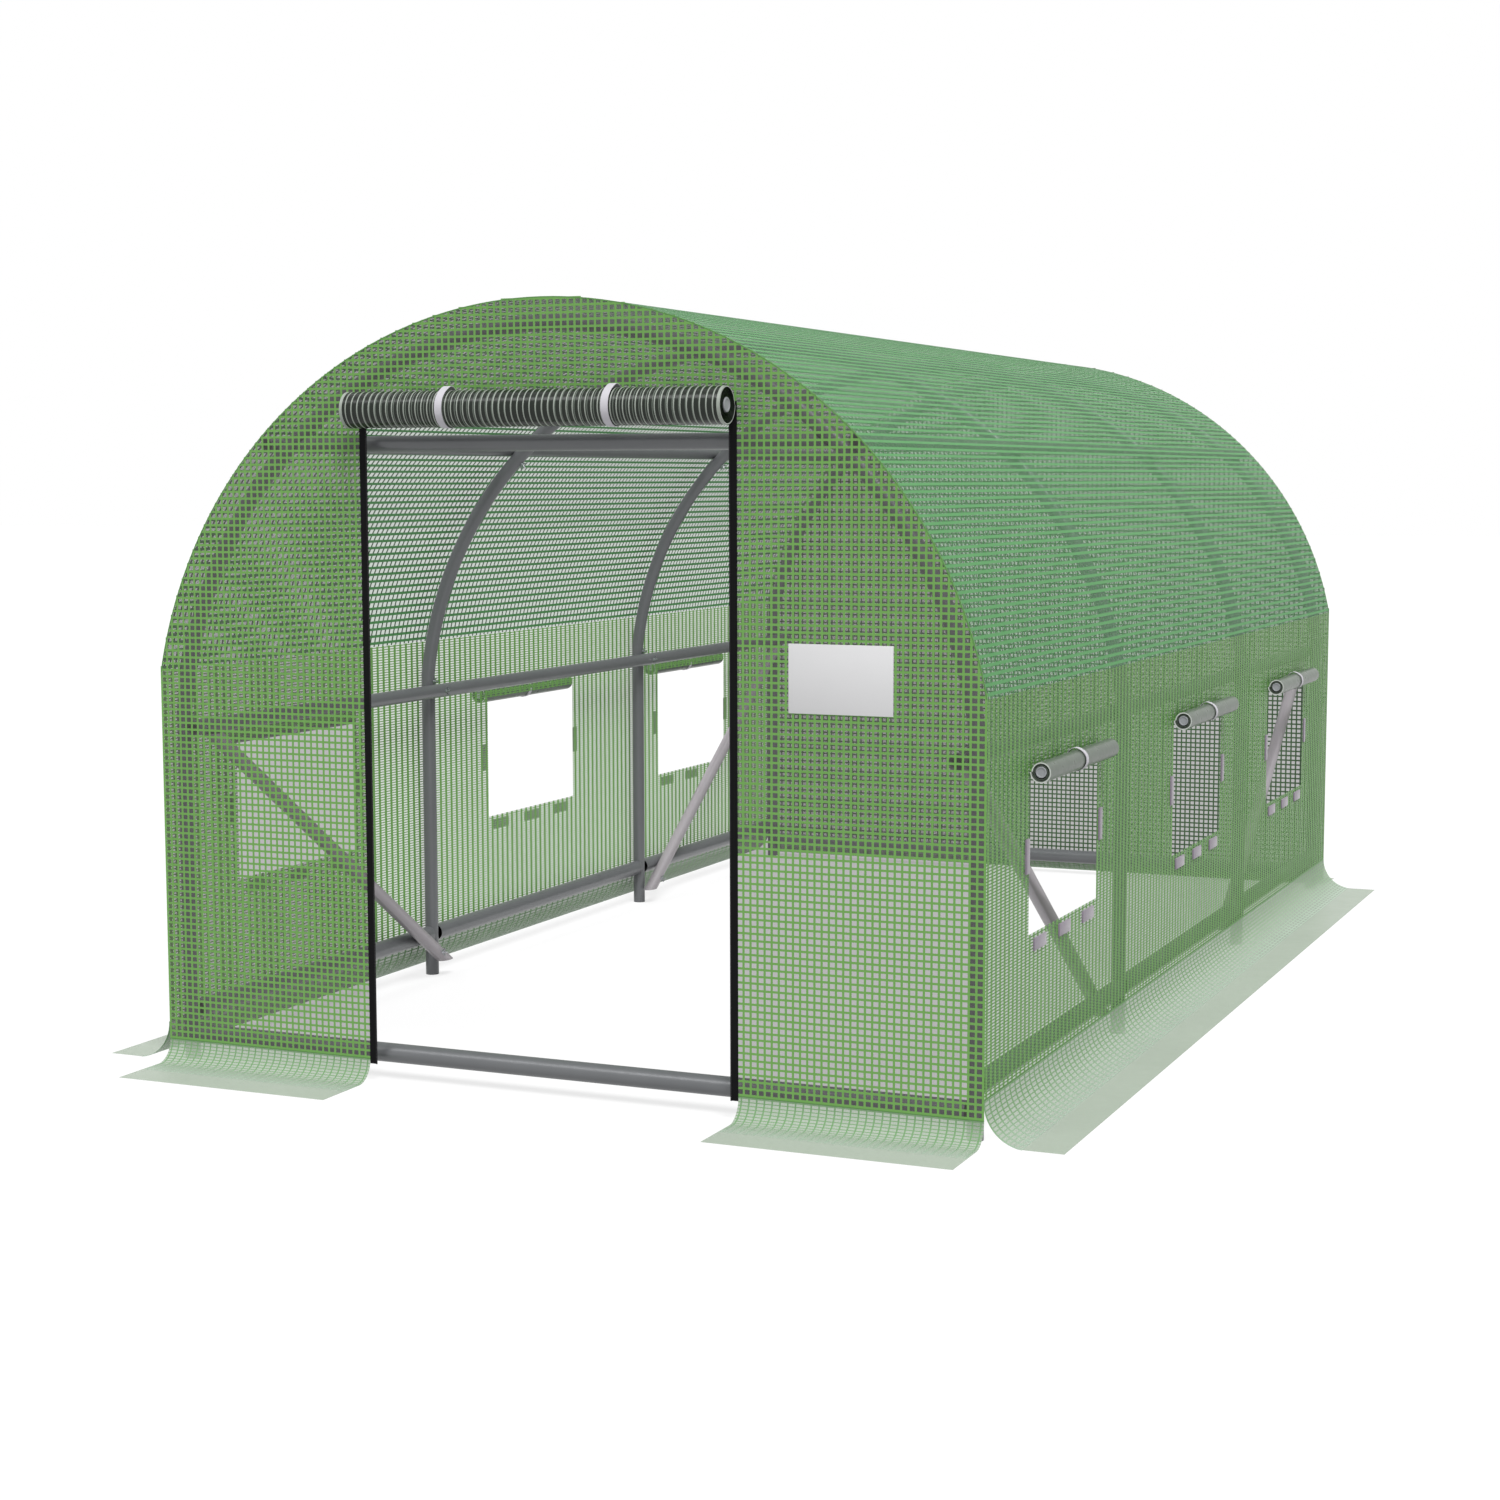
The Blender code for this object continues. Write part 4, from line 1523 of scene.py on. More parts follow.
@dataclass
class Cover:
    """Roof, walls, skirts and the blank patch.

    Attributes:
        tunnel: main sizes.
        tools: shared node trees.
        roof_steps: facets of the roof's arc.
        skirt_steps: facets of a skirt's quarter round.
        skirt_fade: shares of a skirt's width where its threads start to fade and end.
        seam: width of the welded seams along the sheets' edges.
        patch_low: lower left corner of the patch on the front sheet, as (x, z).
        patch_size: its size.
        patch_thickness: its thickness.
        patch_bevel: radius of its edges.
    """

    tunnel: Tunnel
    tools: Tools
    roof_steps: int = 96
    skirt_steps: int = 14
    skirt_fade: Point2 = (0.2, 0.6)
    seam: float = 3 * MM
    patch_low: Point2 = (0.655, 1.002)
    patch_size: Point2 = (0.265, 0.166)
    patch_thickness: float = 1.6 * MM
    patch_bevel: float = 0.4 * MM

    def arch(self) -> list[Point2]:
        """Outline of an end wall.

        Returns:
            Its (across, up) points.
        """
        sizes = self.tunnel
        feet = [(sizes.half_width, sizes.hem), (-sizes.half_width, sizes.hem)]
        return [feet[0], *sizes.roof_line(0, self.roof_steps), feet[1]]

    def front(self) -> FlatSheet:
        """Front wall with the doorway.

        Returns:
            The sheet.
        """
        sizes = self.tunnel
        _, zip_high = corners("zip_right")
        jamb, top = zip_high.x + CLEARANCE, zip_high.z + CLEARANCE
        door = [(-jamb, sizes.hem), (-jamb, top), (jamb, top), (jamb, sizes.hem)]
        foot = sizes.hem + self.seam / 2
        seams = [[(sign * jamb, foot), (sign * sizes.half_width, foot)] for sign in SIDES.values()]
        seams.append(sizes.roof_line(self.seam / 2, self.roof_steps))

        def place(across: float, up: float, out: float) -> Vector:
            """World point of a place on the wall."""
            return Vector((across, -sizes.half_length - out, up))

        loops = [self.arch() + door]
        return FlatSheet("front", "front_sheet", loops, place, FRONT_WEAVE, seams, self.seam)

    def rear(self) -> FlatSheet:
        """Rear wall.

        Returns:
            The sheet.
        """
        sizes = self.tunnel
        foot = sizes.hem + self.seam / 2
        seams = [[(-sizes.half_width, foot), (sizes.half_width, foot)]]
        seams.append(sizes.roof_line(self.seam / 2, self.roof_steps))

        def place(across: float, up: float, out: float) -> Vector:
            """World point of a place on the wall."""
            return Vector((-across, sizes.half_length + out, up))

        return FlatSheet("rear", "rear_sheet", [self.arch()], place, REAR_WEAVE, seams, self.seam)

    def wall(self, side: str) -> FlatSheet:
        """Side wall with its three windows.

        Args:
            side: left or right.

        Returns:
            The sheet.
        """
        sizes = self.tunnel
        sign = SIDES[side]
        node = f"wall_sheet_{side}"
        low, high = corners(node)
        loops = [[(low.y, low.z), (high.y, low.z), (high.y, high.z), (low.y, high.z)]]
        for y, half, sill, top in window_openings(side):
            loops.append([(y - half, sill), (y - half, top), (y + half, top), (y + half, sill)])
        foot = low.z + self.seam / 2
        seams = [[(low.y, foot), (high.y, foot)]]

        def place(across: float, up: float, out: float) -> Vector:
            """World point of a place on the wall."""
            return Vector((sign * (sizes.half_width + out), across, up))

        return FlatSheet(f"wall_{side}", node, loops, place, WALL_WEAVES[side], seams, self.seam)

    def roof(self) -> CurvedSheet:
        """Roof over all four hoops.

        Returns:
            The sheet.
        """
        low, high = corners("roof_sheet")
        line = Path2(self.tunnel.roof_line(FILM_MIDDLE, self.roof_steps))
        return CurvedSheet(
            "roof", "roof_sheet", line, Axis.Y, low.y, high.y, ROOF_WEAVE, edge=self.seam
        )

    def skirt(self, node: str, axis: Axis, weave: Weave) -> CurvedSheet:
        """Skirt that rounds out from the hem and lies on the ground.

        Args:
            node: the solid.
            axis: the axis that it runs along.
            weave: its weave.

        Returns:
            The sheet.
        """
        low, high = corners(node)
        across = 1 - axis.value
        out = 1 if low[across] + high[across] > 0 else -1
        wall, rim = (low[across], high[across]) if out > 0 else (high[across], low[across])
        wall += out * FILM_MIDDLE
        radius = high.z - CLEARANCE
        line = []
        for i in range(self.skirt_steps + 1):
            turn = math.pi / 2 * i / self.skirt_steps
            height = radius * (1 - math.sin(turn))
            line.append((wall + out * radius * (1 - math.cos(turn)), max(height, FILM_MIDDLE)))
        path = Path2([*line, (rim, FILM_MIDDLE)])
        return CurvedSheet(
            name=node,
            node=node,
            section=path,
            axis=axis,
            low=low[axis.value],
            high=high[axis.value],
            weave=weave,
            held="laid",
            fade_from=self.skirt_fade[0] * path.length,
            fade_to=self.skirt_fade[1] * path.length,
        )

    def patch(self) -> None:
        """Blank patch on the front wall, with rounded edges."""
        width, height = self.patch_size
        middle = (
            self.patch_low[0] + width / 2,
            -self.tunnel.half_length - self.patch_thickness / 2,
            self.patch_low[1] + height / 2,
        )
        shape = box_shape((width, self.patch_thickness, height), self.patch_bevel, middle)
        data = data_from(shape, [PATCH_PLASTIC])
        settle(finished_object("blank_patch", data), "root", PATCH_PLASTIC)

    def build(self) -> None:
        """Builds the whole cover."""
        self.front().build(self.tools)
        self.rear().build(self.tools)
        self.roof().build(self.tools)
        for side in SIDES:
            self.wall(side).build(self.tools)
            self.skirt(f"skirt_{side}", Axis.Y, SIDE_SKIRT_WEAVE).build(self.tools)
            self.skirt(f"skirt_front_{side}", Axis.X, END_SKIRT_WEAVE).build(self.tools)
        self.skirt("skirt_rear", Axis.X, END_SKIRT_WEAVE).build(self.tools)
        self.patch()


@dataclass(frozen=True)
class Ribs:
    """Threads that show round a roll, at an even pitch from end to end.

    Attributes:
        steps: how many pitches there are.
        width: width of one thread.
        height: how far it stands off the film.
        finish: its finish.
    """

    steps: int
    width: float
    height: float
    finish: Finish


@dataclass
class Roll:
    """Film rolled up round a core.

    Attributes:
        name: what the roll is called.
        axis: the axis that it runs along.
        centre: the middle of its axis.
        length: its length.
        diameter: its outer diameter.
        bore: diameter inside its innermost turn.
        turns: whole turns of film.
        wall_side: 1 or -1, the side of the axis where the wall is and the film comes off.
        finish: finish of the film.
        layer: thickness of the inner turns as they show at the ends.
        rim: thickness of the outermost turn, which is hemmed.
        recess: how far the middle turns sink back at both ends.
        ribs: the sets of threads that show round it.
        steps: facets of one turn.
    """

    name: str
    axis: Axis
    centre: Vector
    length: float
    diameter: float
    bore: float
    turns: int
    wall_side: int
    finish: Finish
    layer: float = 1.0 * MM
    rim: float = 2.3 * MM
    recess: float = 5 * MM
    ribs: Sequence[Ribs] = ()
    steps: int = 48

    def radius(self, share: float) -> float:
        """Outer radius of the film at a share of its way out."""
        return (self.bore + (self.diameter - self.bore) * share) / 2

    def half_length(self, share: float) -> float:
        """Half the film's width, less where its turns have sunk back.

        Args:
            share: share of the way out.

        Returns:
            Half the width.
        """
        outer = 1 / self.turns
        if share > 1 - outer:
            return self.length / 2
        sunk = math.sin(math.pi * share / (1 - outer)) ** 0.5 if 0 < share < 1 - outer else 0.0
        return self.length / 2 - self.recess * sunk

    def spot(self, radius: float, angle: float, along: float) -> Vector:
        """World point at a radius, an angle from the wall's side and a place along the axis.

        Args:
            radius: the radius.
            angle: the angle in radians.
            along: distance from the roll's middle.

        Returns:
            The point.
        """
        middle = self.centre[self.axis.value]
        sideways = self.centre[1 - self.axis.value] + self.wall_side * radius * math.cos(angle)
        return self.axis.point(middle + along, sideways, self.centre.z + radius * math.sin(angle))

    def film(self) -> Mesh:
        """Spiral of film, with a pale cut edge on its outermost turn.

        Returns:
            The film's mesh.
        """
        shape = bmesh.new()
        total = self.turns * self.steps
        rings = []
        for i in range(total + 1):
            share, angle = i / total, 2 * math.pi * i / self.steps
            outer = self.radius(share)
            inner = outer - (self.rim if i > total - self.steps else self.layer)
            half = self.half_length(share)
            section = ((outer, -half), (outer, half), (inner, half), (inner, -half))
            rings.append([self.spot(radius, angle, along) for radius, along in section])
        quads = add_loft(shape, rings)
        for place, quad in enumerate(quads[-len(section) * self.steps :]):
            quad.material_index = place % 2
        return data_from(shape, [self.finish, FILM_EDGE])

    def threads(self, tools: Tools, ribs: Ribs) -> Mesh:
        """One set of threads round the outermost turn.

        Args:
            tools: shared node trees.
            ribs: the set.

        Returns:
            The threads' mesh.
        """
        lines = []
        total = self.turns * self.steps
        reach = self.length - ribs.width
        for step in range(ribs.steps + 1):
            along = reach * (step / ribs.steps - 0.5)
            line = []
            for i in range(total - self.steps, total + 1):
                angle = 2 * math.pi * i / self.steps
                line.append((self.spot(self.radius(i / total), angle, along), self.axis.unit))
            lines.append(line)
        return tools.lines.ribbons(lines, ribs.width, 2 * ribs.height, ribs.finish)

    def build(self, tools: Tools, body: str, node: str) -> None:
        """Builds the roll."""
        parts = [self.film(), *(self.threads(tools, ribs) for ribs in self.ribs)]
        settle(finished_object(self.name, joined(parts)), body, self.finish, node)


@dataclass
class Core:
    """Core tube of a roll, with closed, slightly dished ends.

    Attributes:
        name: what the core is called.
        roll: the roll round it.
        sunk: how far its ends lie inside the roll's ends.
        gap: clearance to the roll's innermost turn.
        profile: section of an end, as shares of its radius and metres beyond the end.
        steps: facets round it.
    """

    name: str
    roll: Roll
    sunk: float = 0.0
    gap: float = 0.2 * MM
    profile: tuple[Point2, ...] = (
        (0.0, -1.5 * MM),
        (0.7, -1.5 * MM),
        (0.78, 0.0),
        (0.94, 0.0),
        (1.0, -1.0 * MM),
    )
    steps: int = 40

    def build(self, body: str, *nodes: str) -> None:
        """Builds the core.

        Args:
            body: the body that it rides on.
            nodes: the solids that it replaces.
        """
        shape = bmesh.new()
        radius = self.roll.bore / 2 - self.roll.layer - self.gap
        half = self.roll.length / 2 - self.sunk
        section = [(share * radius, half + depth) for share, depth in self.profile]
        section += [(reach, -along) for reach, along in reversed(section)]
        rings = []
        for reach, along in section:
            turns = [2 * math.pi * i / self.steps for i in range(self.steps)] if reach else [0.0]
            rings.append([shape.verts.new(self.roll.spot(reach, turn, along)) for turn in turns])
        for one, other in zip(rings, rings[1:]):
            if len(one) == len(other):
                join_rings(shape, one, other)
                continue
            tip, ring = (one[0], other) if len(one) == 1 else (other[0], one)
            for k, vertex in enumerate(ring):
                shape.faces.new((tip, vertex, ring[(k + 1) % len(ring)]))
        piece = finished_object(self.name, data_from(shape, [CORE_PLASTIC]))
        settle(piece, body, CORE_PLASTIC, *nodes)


@dataclass
class RingTie:
    """Tape tie round a roll, with a slack ear at its top.

    Attributes:
        name: what the tie is called.
        roll: the roll that it holds.
        along: its middle along the roll's axis, in world coordinates.
        width: width of the tape.
        thickness: thickness of the tape.
        gap: clearance to the roll.
        ear: how far the slack stands off at the top.
        ear_turn: where the slack stands, in degrees from the wall's side.
        ear_spread: how far it spreads to each side, in degrees.
        steps: facets round it.
    """

    name: str
    roll: Roll
    along: float
    width: float
    thickness: float = 1.1 * MM
    gap: float = 0.5 * MM
    ear: float = 7 * MM
    ear_turn: float = 80.0
    ear_spread: float = 24.0
    steps: int = 72

    def build(self, body: str, node: str) -> None:
        """Builds the tie with a UV map in metres along and across the tape.

        Args:
            body: the body that it rides on.
            node: the solid that it replaces.
        """
        roll = self.roll
        shape = bmesh.new()
        chart = shape.loops.layers.uv.new("tape")
        base = roll.diameter / 2 + self.gap
        middle = self.along - roll.centre[roll.axis.value]
        rows = []
        for i in range(self.steps):
            angle = 2 * math.pi * i / self.steps
            off = (math.degrees(angle) - self.ear_turn) / self.ear_spread
            inner = base + self.ear * math.exp(-(off**2))
            outer = inner + self.thickness
            low, high = middle - self.width / 2, middle + self.width / 2
            section = ((outer, low), (outer, high), (inner, high), (inner, low))
            rows.append([shape.verts.new(roll.spot(r, angle, along)) for r, along in section])
        around = 2 * math.pi * base / self.steps
        side = [0.0, self.width, self.width + self.thickness, 2 * self.width + self.thickness, 0.0]
        for i, near in enumerate(rows):
            far = rows[(i + 1) % len(rows)]
            for k, face in enumerate(join_rings(shape, near, far)):
                spots = [(i, k), (i, k + 1), (i + 1, k + 1), (i + 1, k)]
                for loop, (row, column) in zip(face.loops, spots):
                    loop[chart].uv = (row * around, side[column])
        settle(finished_object(self.name, data_from(shape, [WEBBING])), body, WEBBING, node)


@dataclass
class Curtain:
    """Strip between a top seam and a roll, built as it hangs at rest; the real strip draws out as
    the roll comes down.

    Its level threads lie so close at rest that they stand at the weave's own pitch when the
    roll is all the way down.

    Attributes:
        name: what the strip is called.
        axis: the level axis that it runs along.
        low: one end along that axis.
        high: other end.
        face: where its middle lies sideways.
        jog: sideways shift down to the roll's back.
        top: height of the seam.
        bottom: height of the roll's axis.
        travel: how far the roll comes down.
        weave: its film and threads.
        rows: steps from top to bottom.
    """

    name: str
    axis: Axis
    low: float
    high: float
    face: float
    jog: float
    top: float
    bottom: float
    travel: float
    weave: Weave
    rows: int = 60

    def rest_height(self, drop: float) -> float:
        """Height at rest of the point that hangs this far below the seam when drawn out.

        Args:
            drop: distance below the seam.

        Returns:
            The height.
        """
        height = self.top - self.bottom
        low, high = 0.0, 1.0
        for _ in range(40):
            share = (low + high) / 2
            if share * height + self.travel * share * share * (3 - 2 * share) < drop:
                low = share
            else:
                high = share
        return self.top - low * height

    def sideways(self, height: float) -> float:
        """Where the strip's middle lies at a height: it bends to the roll at its foot."""
        share = min(max((self.top - height) / (self.top - self.bottom) * 2 - 1, 0.0), 1.0)
        return self.face + self.jog * share * share * (3 - 2 * share)

    def spot(self, along: float, height: float, lift: float = 0.0) -> Vector:
        """World point of the strip, lifted sideways off its middle."""
        return self.axis.point(along, self.sideways(height) + lift, height)

    def build(self, tools: Tools, body: str, nodes: Sequence[str]) -> None:
        """Builds the film and its threads, lets light through both and bakes their places into
        their meshes.

        Args:
            tools: shared node trees.
            body: the body named in the log line for the strip's foot.
            nodes: the solids that it replaces.
        """
        drawn = self.top - self.bottom + self.travel
        heights = [self.rest_height(drawn * i / self.rows) for i in range(self.rows + 1)]
        half = FILM_THICKNESS / 2
        ring = ((self.low, -half), (self.high, -half), (self.high, half), (self.low, half))
        shape = bmesh.new()
        add_loft(shape, [[self.spot(along, z, lift) for along, lift in ring] for z in heights])
        film = finished_object(f"{self.name}_film", data_from(shape, [self.weave.film]))
        net = finished_object(f"{self.name}_threads", self.threads(tools, drawn, heights))
        let_light_through(film, net)
        for piece, finish in ((film, self.weave.film), (net, self.weave.level)):
            start = self.axis.point(0, self.face, self.top)
            end = self.axis.point(0, self.face, self.bottom)
            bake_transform(piece)
            LOG.info("%s: %d faces between root and %s", piece.name, len(piece.data.polygons), body)
        if nodes:
            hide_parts(*nodes)

    def threads(self, tools: Tools, drawn: float, heights: Sequence[float]) -> Mesh:
        """Level threads as thin bars, squeezed at rest so that they would stand at their true
        height when drawn out, and rising threads.

        Args:
            tools: shared node trees.
            drawn: height of the strip when it is drawn out.
            heights: heights at rest of the rising threads' points.

        Returns:
            One mesh with all the threads.
        """
        half, half_width = LEVEL_THREAD / 2, self.weave.level_width / 2
        ends = (self.low, self.high)
        shape = bmesh.new()
        for at in steps_between(0, drawn, self.weave.level_pitch):
            top, foot = (self.rest_height(at + step) for step in (-half_width, half_width))
            ring = ((top, -half), (top, half), (foot, half), (foot, -half))
            add_loft(shape, [[self.spot(along, z, lift) for z, lift in ring] for along in ends])
        level = data_from(shape, [self.weave.level])
        rising = []
        for along in steps_between(*ends, self.weave.rising_pitch):
            rising.append([(self.spot(along, z), self.axis.unit) for z in heights])
        width, finish = self.weave.rising_width, self.weave.rising
        return joined([level, tools.lines.ribbons(rising, width, RISING_THREAD, finish)])


def joint_named(name: str) -> dict[str, Any]:
    """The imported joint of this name."""
    return next(joint for joint in frame["joints"] if joint["name"] == name)


def joint_place(name: str) -> Vector:
    """A point on a joint's axis."""
    return Vector(joint_named(name)["pos_m"])


def joint_range(name: str) -> tuple[float, float]:
    """Limits of a joint."""
    return tuple(joint_named(name)["range_m"])


def turns_of(sheet: float, diameter: float, bore: float) -> int:
    """Whole turns that a sheet of this length makes between a bore and a diameter."""
    return round(sheet / (math.pi * (diameter + bore) / 2))


@dataclass
class Door:
    """Rolled-up door curtain on its core, with its ties, its strip and its two zips.

    Attributes:
        tunnel: main sizes.
        tools: shared node trees.
        bore: diameter inside the innermost turn.
        curtain_length: length of the rolled-up film.
        ribs: threads of the outermost turn, those of the turn below, and the hems at both ends.
        tooth_pitch: distance between zip teeth, drawn coarser than real ones so that they show.
        tooth: size of a tooth across, through and along the zip.
        tooth_bevel: radius of its edges.
        tape_thickness: thickness of the zip tape.
        slider_plate: thickness of a slider's plates and of the bridge between them.
        slider_bevel: radius of the slider's edges.
        pull: size of a slider's pull, across, through and down.
        pull_reach: how far the pull's middle stands in front of the slider.
        pull_overlap: from the slider's middle up to the top of the pull.
    """

    tunnel: Tunnel
    tools: Tools
    bore: float = 38 * MM
    curtain_length: float = 1.70
    ribs: tuple[Ribs, ...] = (
        Ribs(steps=62, width=2.9 * MM, height=0.3 * MM, finish=ROLLED_TAPE),
        Ribs(steps=60, width=2.6 * MM, height=0.2 * MM, finish=SUNKEN_TAPE),
        Ribs(steps=1, width=8.0 * MM, height=0.45 * MM, finish=ROLLED_TAPE),
    )
    tooth_pitch: float = 4.0 * MM
    tooth: Triple = (3.4 * MM, 2.6 * MM, 2.4 * MM)
    tooth_bevel: float = 0.5 * MM
    tape_thickness: float = 1.2 * MM
    slider_plate: float = 1.5 * MM
    slider_bevel: float = 0.35 * MM
    pull: Triple = (7 * MM, 1.0 * MM, 34 * MM)
    pull_reach: float = 0.7 * MM
    pull_overlap: float = 2 * MM

    def roll(self) -> Roll:
        """The rolled-up curtain.

        Returns:
            The roll.
        """
        low, high = corners("door_roll")
        joint = joint_place("door_unroll")
        centre = Vector(((low.x + high.x) / 2, joint.y, joint.z))
        diameter = 2 * (high.y - joint.y)
        return Roll(
            name="rolled_door_curtain",
            axis=Axis.X,
            centre=centre,
            length=high.x - low.x,
            diameter=diameter,
            bore=self.bore,
            turns=turns_of(self.curtain_length, diameter, self.bore),
            wall_side=1,
            # Its dark finish is partly the rolled film's own colour and partly painted shade
            finish=ROLLED_DOOR_DARK_AND_PAINTED_SHADE,
            ribs=self.ribs,
        )

    def zip(self, side: str) -> None:
        """Zip tape with a row of teeth along its door edge.

        Args:
            side: left or right.
        """
        sign = SIDES[side]
        low, high = corners(f"zip_{side}")
        inner, outer = (low.x, high.x) if sign > 0 else (high.x, low.x)
        y = (low.y + high.y) / 2
        back, front = y + self.tape_thickness / 2, y - self.tape_thickness / 2
        ring = ((inner, front), (outer, front), (outer, back), (inner, back))
        shape = bmesh.new()
        chart = shape.loops.layers.uv.new("tape")
        add_loft(shape, [[Vector((a, b, z)) for a, b in ring] for z in (low.z, high.z)])
        for face in shape.faces:
            for loop in face.loops:
                spot = loop.vert.co
                loop[chart].uv = (spot.z, spot.x + spot.y)
        tape = data_from(shape, [ZIP_TAPE])
        bead = inner + sign * self.tooth[0] / 2
        heights = steps_between(low.z, high.z, self.tooth_pitch)
        places = [(Vector((bead, y, z)), Vector((0, 0, 1))) for z in heights]
        tooth = box_shape(self.tooth, self.tooth_bevel)
        teeth = self.tools.copies.copies(tooth, places, ZIP_TEETH)
        piece = finished_object(f"zip_{side}_tape_and_teeth", joined([tape, teeth]))
        settle(piece, "root", ZIP_TAPE, f"zip_{side}")

    def slider(self, side: str) -> None:
        """Slider of two plates on a bridge, with a hanging pull.

        Args:
            side: left or right.
        """
        sign = SIDES[side]
        low, high = corners(f"zip_slider_{side}")
        size, middle = high - low, (high + low) / 2
        plate = self.slider_plate
        bridge = low.x + plate / 2 if sign > 0 else high.x - plate / 2
        hang = middle.z + self.pull_overlap - self.pull[2] / 2
        blocks = [
            ((size.x, plate, size.z), (middle.x, low.y + plate / 2, middle.z)),
            ((size.x, plate, size.z), (middle.x, high.y - plate / 2, middle.z)),
            ((plate, size.y, size.z), (bridge, middle.y, middle.z)),
            (self.pull, (middle.x, low.y - self.pull_reach, hang)),
        ]
        parts = []
        for block, spot in blocks:
            parts.append(data_from(box_shape(block, self.slider_bevel, spot), [DIE_CAST_ZINC]))
        piece = finished_object(f"zip_slider_{side}_and_pull", joined(parts))
        settle(piece, f"zip_slider_{side}", DIE_CAST_ZINC, f"zip_slider_{side}")

    def build(self) -> None:
        """Builds the whole door."""
        roll = self.roll()
        roll.build(self.tools, "door_roll", "door_roll")
        Core("curtain_core", roll).build("door_roll", "door_core")
        for side in SIDES:
            low, high = corners(f"door_tie_{side}")
            tie = RingTie(f"door_tie_{side}_tape", roll, (low.x + high.x) / 2, high.x - low.x)
            tie.build("door_ties", f"door_tie_{side}")
            self.zip(side)
            self.slider(side)
        low, high = corners("door_curtain")
        face = (low.y + high.y) / 2
        curtain = Curtain(
            name="door_curtain",
            axis=Axis.X,
            low=low.x,
            high=high.x,
            face=face,
            jog=roll.centre.y + roll.diameter / 2 - roll.layer / 2 - face,
            top=high.z,
            bottom=roll.centre.z,
            travel=-joint_range("door_lower")[0],
            weave=FRONT_WEAVE,
        )
        curtain.build(self.tools, "door_ties", ["door_curtain"])


@dataclass
class Windows:
    """Rolled-up flaps over the windows, with their ties, strips and closing tabs.

    Attributes:
        tunnel: main sizes.
        tools: shared node trees.
        bore: diameter inside a flap's innermost turn.
        flap_length: length of a rolled-up flap.
        strip: height of the strip from the seam down to the roll's axis.
        strip_inset: how much shorter than the roll it is at each end.
        strip_sunk: how far its middle lies inside the wall's outer face.
        side_tab: size of an upright tab: out of the wall, along it and up.
        side_gap: clearance of an upright tab to its window and to the roll above.
        sill_tab: size of a tab below the sill.
        sill_gap: from the sill down to the tabs below it.
        sill_tab_spacing: from the middle of one of them to the next.
        tab_bevel: radius of a tab's edges.
    """

    tunnel: Tunnel
    tools: Tools
    bore: float = 32 * MM
    flap_length: float = 0.45
    strip: float = 14 * MM
    strip_inset: float = 5 * MM
    strip_sunk: float = 0.1 * MM
    side_tab: Triple = (5 * MM, 27 * MM, 86 * MM)
    side_gap: float = 1.5 * MM
    sill_tab: Triple = (5 * MM, 100 * MM, 32 * MM)
    sill_gap: float = 13 * MM
    sill_tab_spacing: float = 0.215
    tab_bevel: float = 1.2 * MM

    def flap(self, side: str, number: int) -> None:
        """Roll, tie and strip of one window.

        Args:
            side: left or right.
            number: 1, 2 or 3, from the front.
        """
        sign = SIDES[side]
        name = f"{side}_{number}"
        low, high = corners(f"window_roll_{name}")
        axle = joint_place(f"window_{name}_unroll")
        diameter = 2 * (high.x - axle.x if sign < 0 else axle.x - low.x)
        roll = Roll(
            name=f"rolled_window_flap_{name}",
            axis=Axis.Y,
            centre=Vector((axle.x, (low.y + high.y) / 2, axle.z)),
            length=high.y - low.y,
            diameter=diameter,
            bore=self.bore,
            turns=turns_of(self.flap_length, diameter, self.bore),
            wall_side=-sign,
            finish=ROLLED_FLAP,
            layer=1.8 * MM,
            rim=3.0 * MM,
            recess=3 * MM,
        )
        roll.build(self.tools, f"window_roll_{name}", f"window_roll_{name}")
        Core(f"window_flap_core_{name}", roll, sunk=1 * MM).build(f"window_roll_{name}")
        start, end = corners(f"window_tie_{name}")
        middle = (start.y + end.y) / 2
        tie = RingTie(f"window_tie_{name}_tape", roll, middle, end.y - start.y, ear=2.5 * MM)
        tie.build(f"window_tie_{name}", f"window_tie_{name}")
        face = sign * (self.tunnel.half_width - self.strip_sunk)
        curtain = Curtain(
            name=f"window_flap_{name}",
            axis=Axis.Y,
            low=low.y + self.strip_inset,
            high=high.y - self.strip_inset,
            face=face,
            jog=axle.x - sign * (roll.diameter / 2 - roll.layer / 2) - face,
            top=axle.z + self.strip,
            bottom=axle.z,
            travel=-joint_range(f"window_{name}_lower")[0],
            weave=WALL_WEAVES[side],
        )
        curtain.build(self.tools, f"window_tie_{name}", [])

    def tabs(self, side: str) -> None:
        """Hook-and-loop tabs round the windows of one wall.

        Args:
            side: left or right.
        """
        sign = SIDES[side]
        upright, level = [], []
        out = Vector((0, 0, 1))
        for number, (y, half, sill, top) in enumerate(window_openings(side), start=1):
            low, high = corners(f"window_roll_{side}_{number}")
            reach = max(half, (high.y - low.y) / 2) + self.side_gap + self.side_tab[1] / 2
            for way in (-1, 1):
                x = sign * (self.tunnel.half_width + self.side_tab[0] / 2)
                upright.append((Vector((x, y + way * reach, (sill + top) / 2)), out))
            for step in (-1, 0, 1):
                x = sign * (self.tunnel.half_width + self.sill_tab[0] / 2)
                z = sill - self.sill_gap - self.sill_tab[2] / 2
                level.append((Vector((x, y + step * self.sill_tab_spacing, z)), out))
        parts = []
        for size, places in ((self.side_tab, upright), (self.sill_tab, level)):
            tab = box_shape(size, self.tab_bevel)
            parts.append(self.tools.copies.copies(tab, places, HOOK_AND_LOOP))
        settle(finished_object(f"window_tabs_{side}", joined(parts)), "root", HOOK_AND_LOOP)

    def build(self) -> None:
        """Builds every window of both walls."""
        for side in SIDES:
            for number in (1, 2, 3):
                self.flap(side, number)
            self.tabs(side)


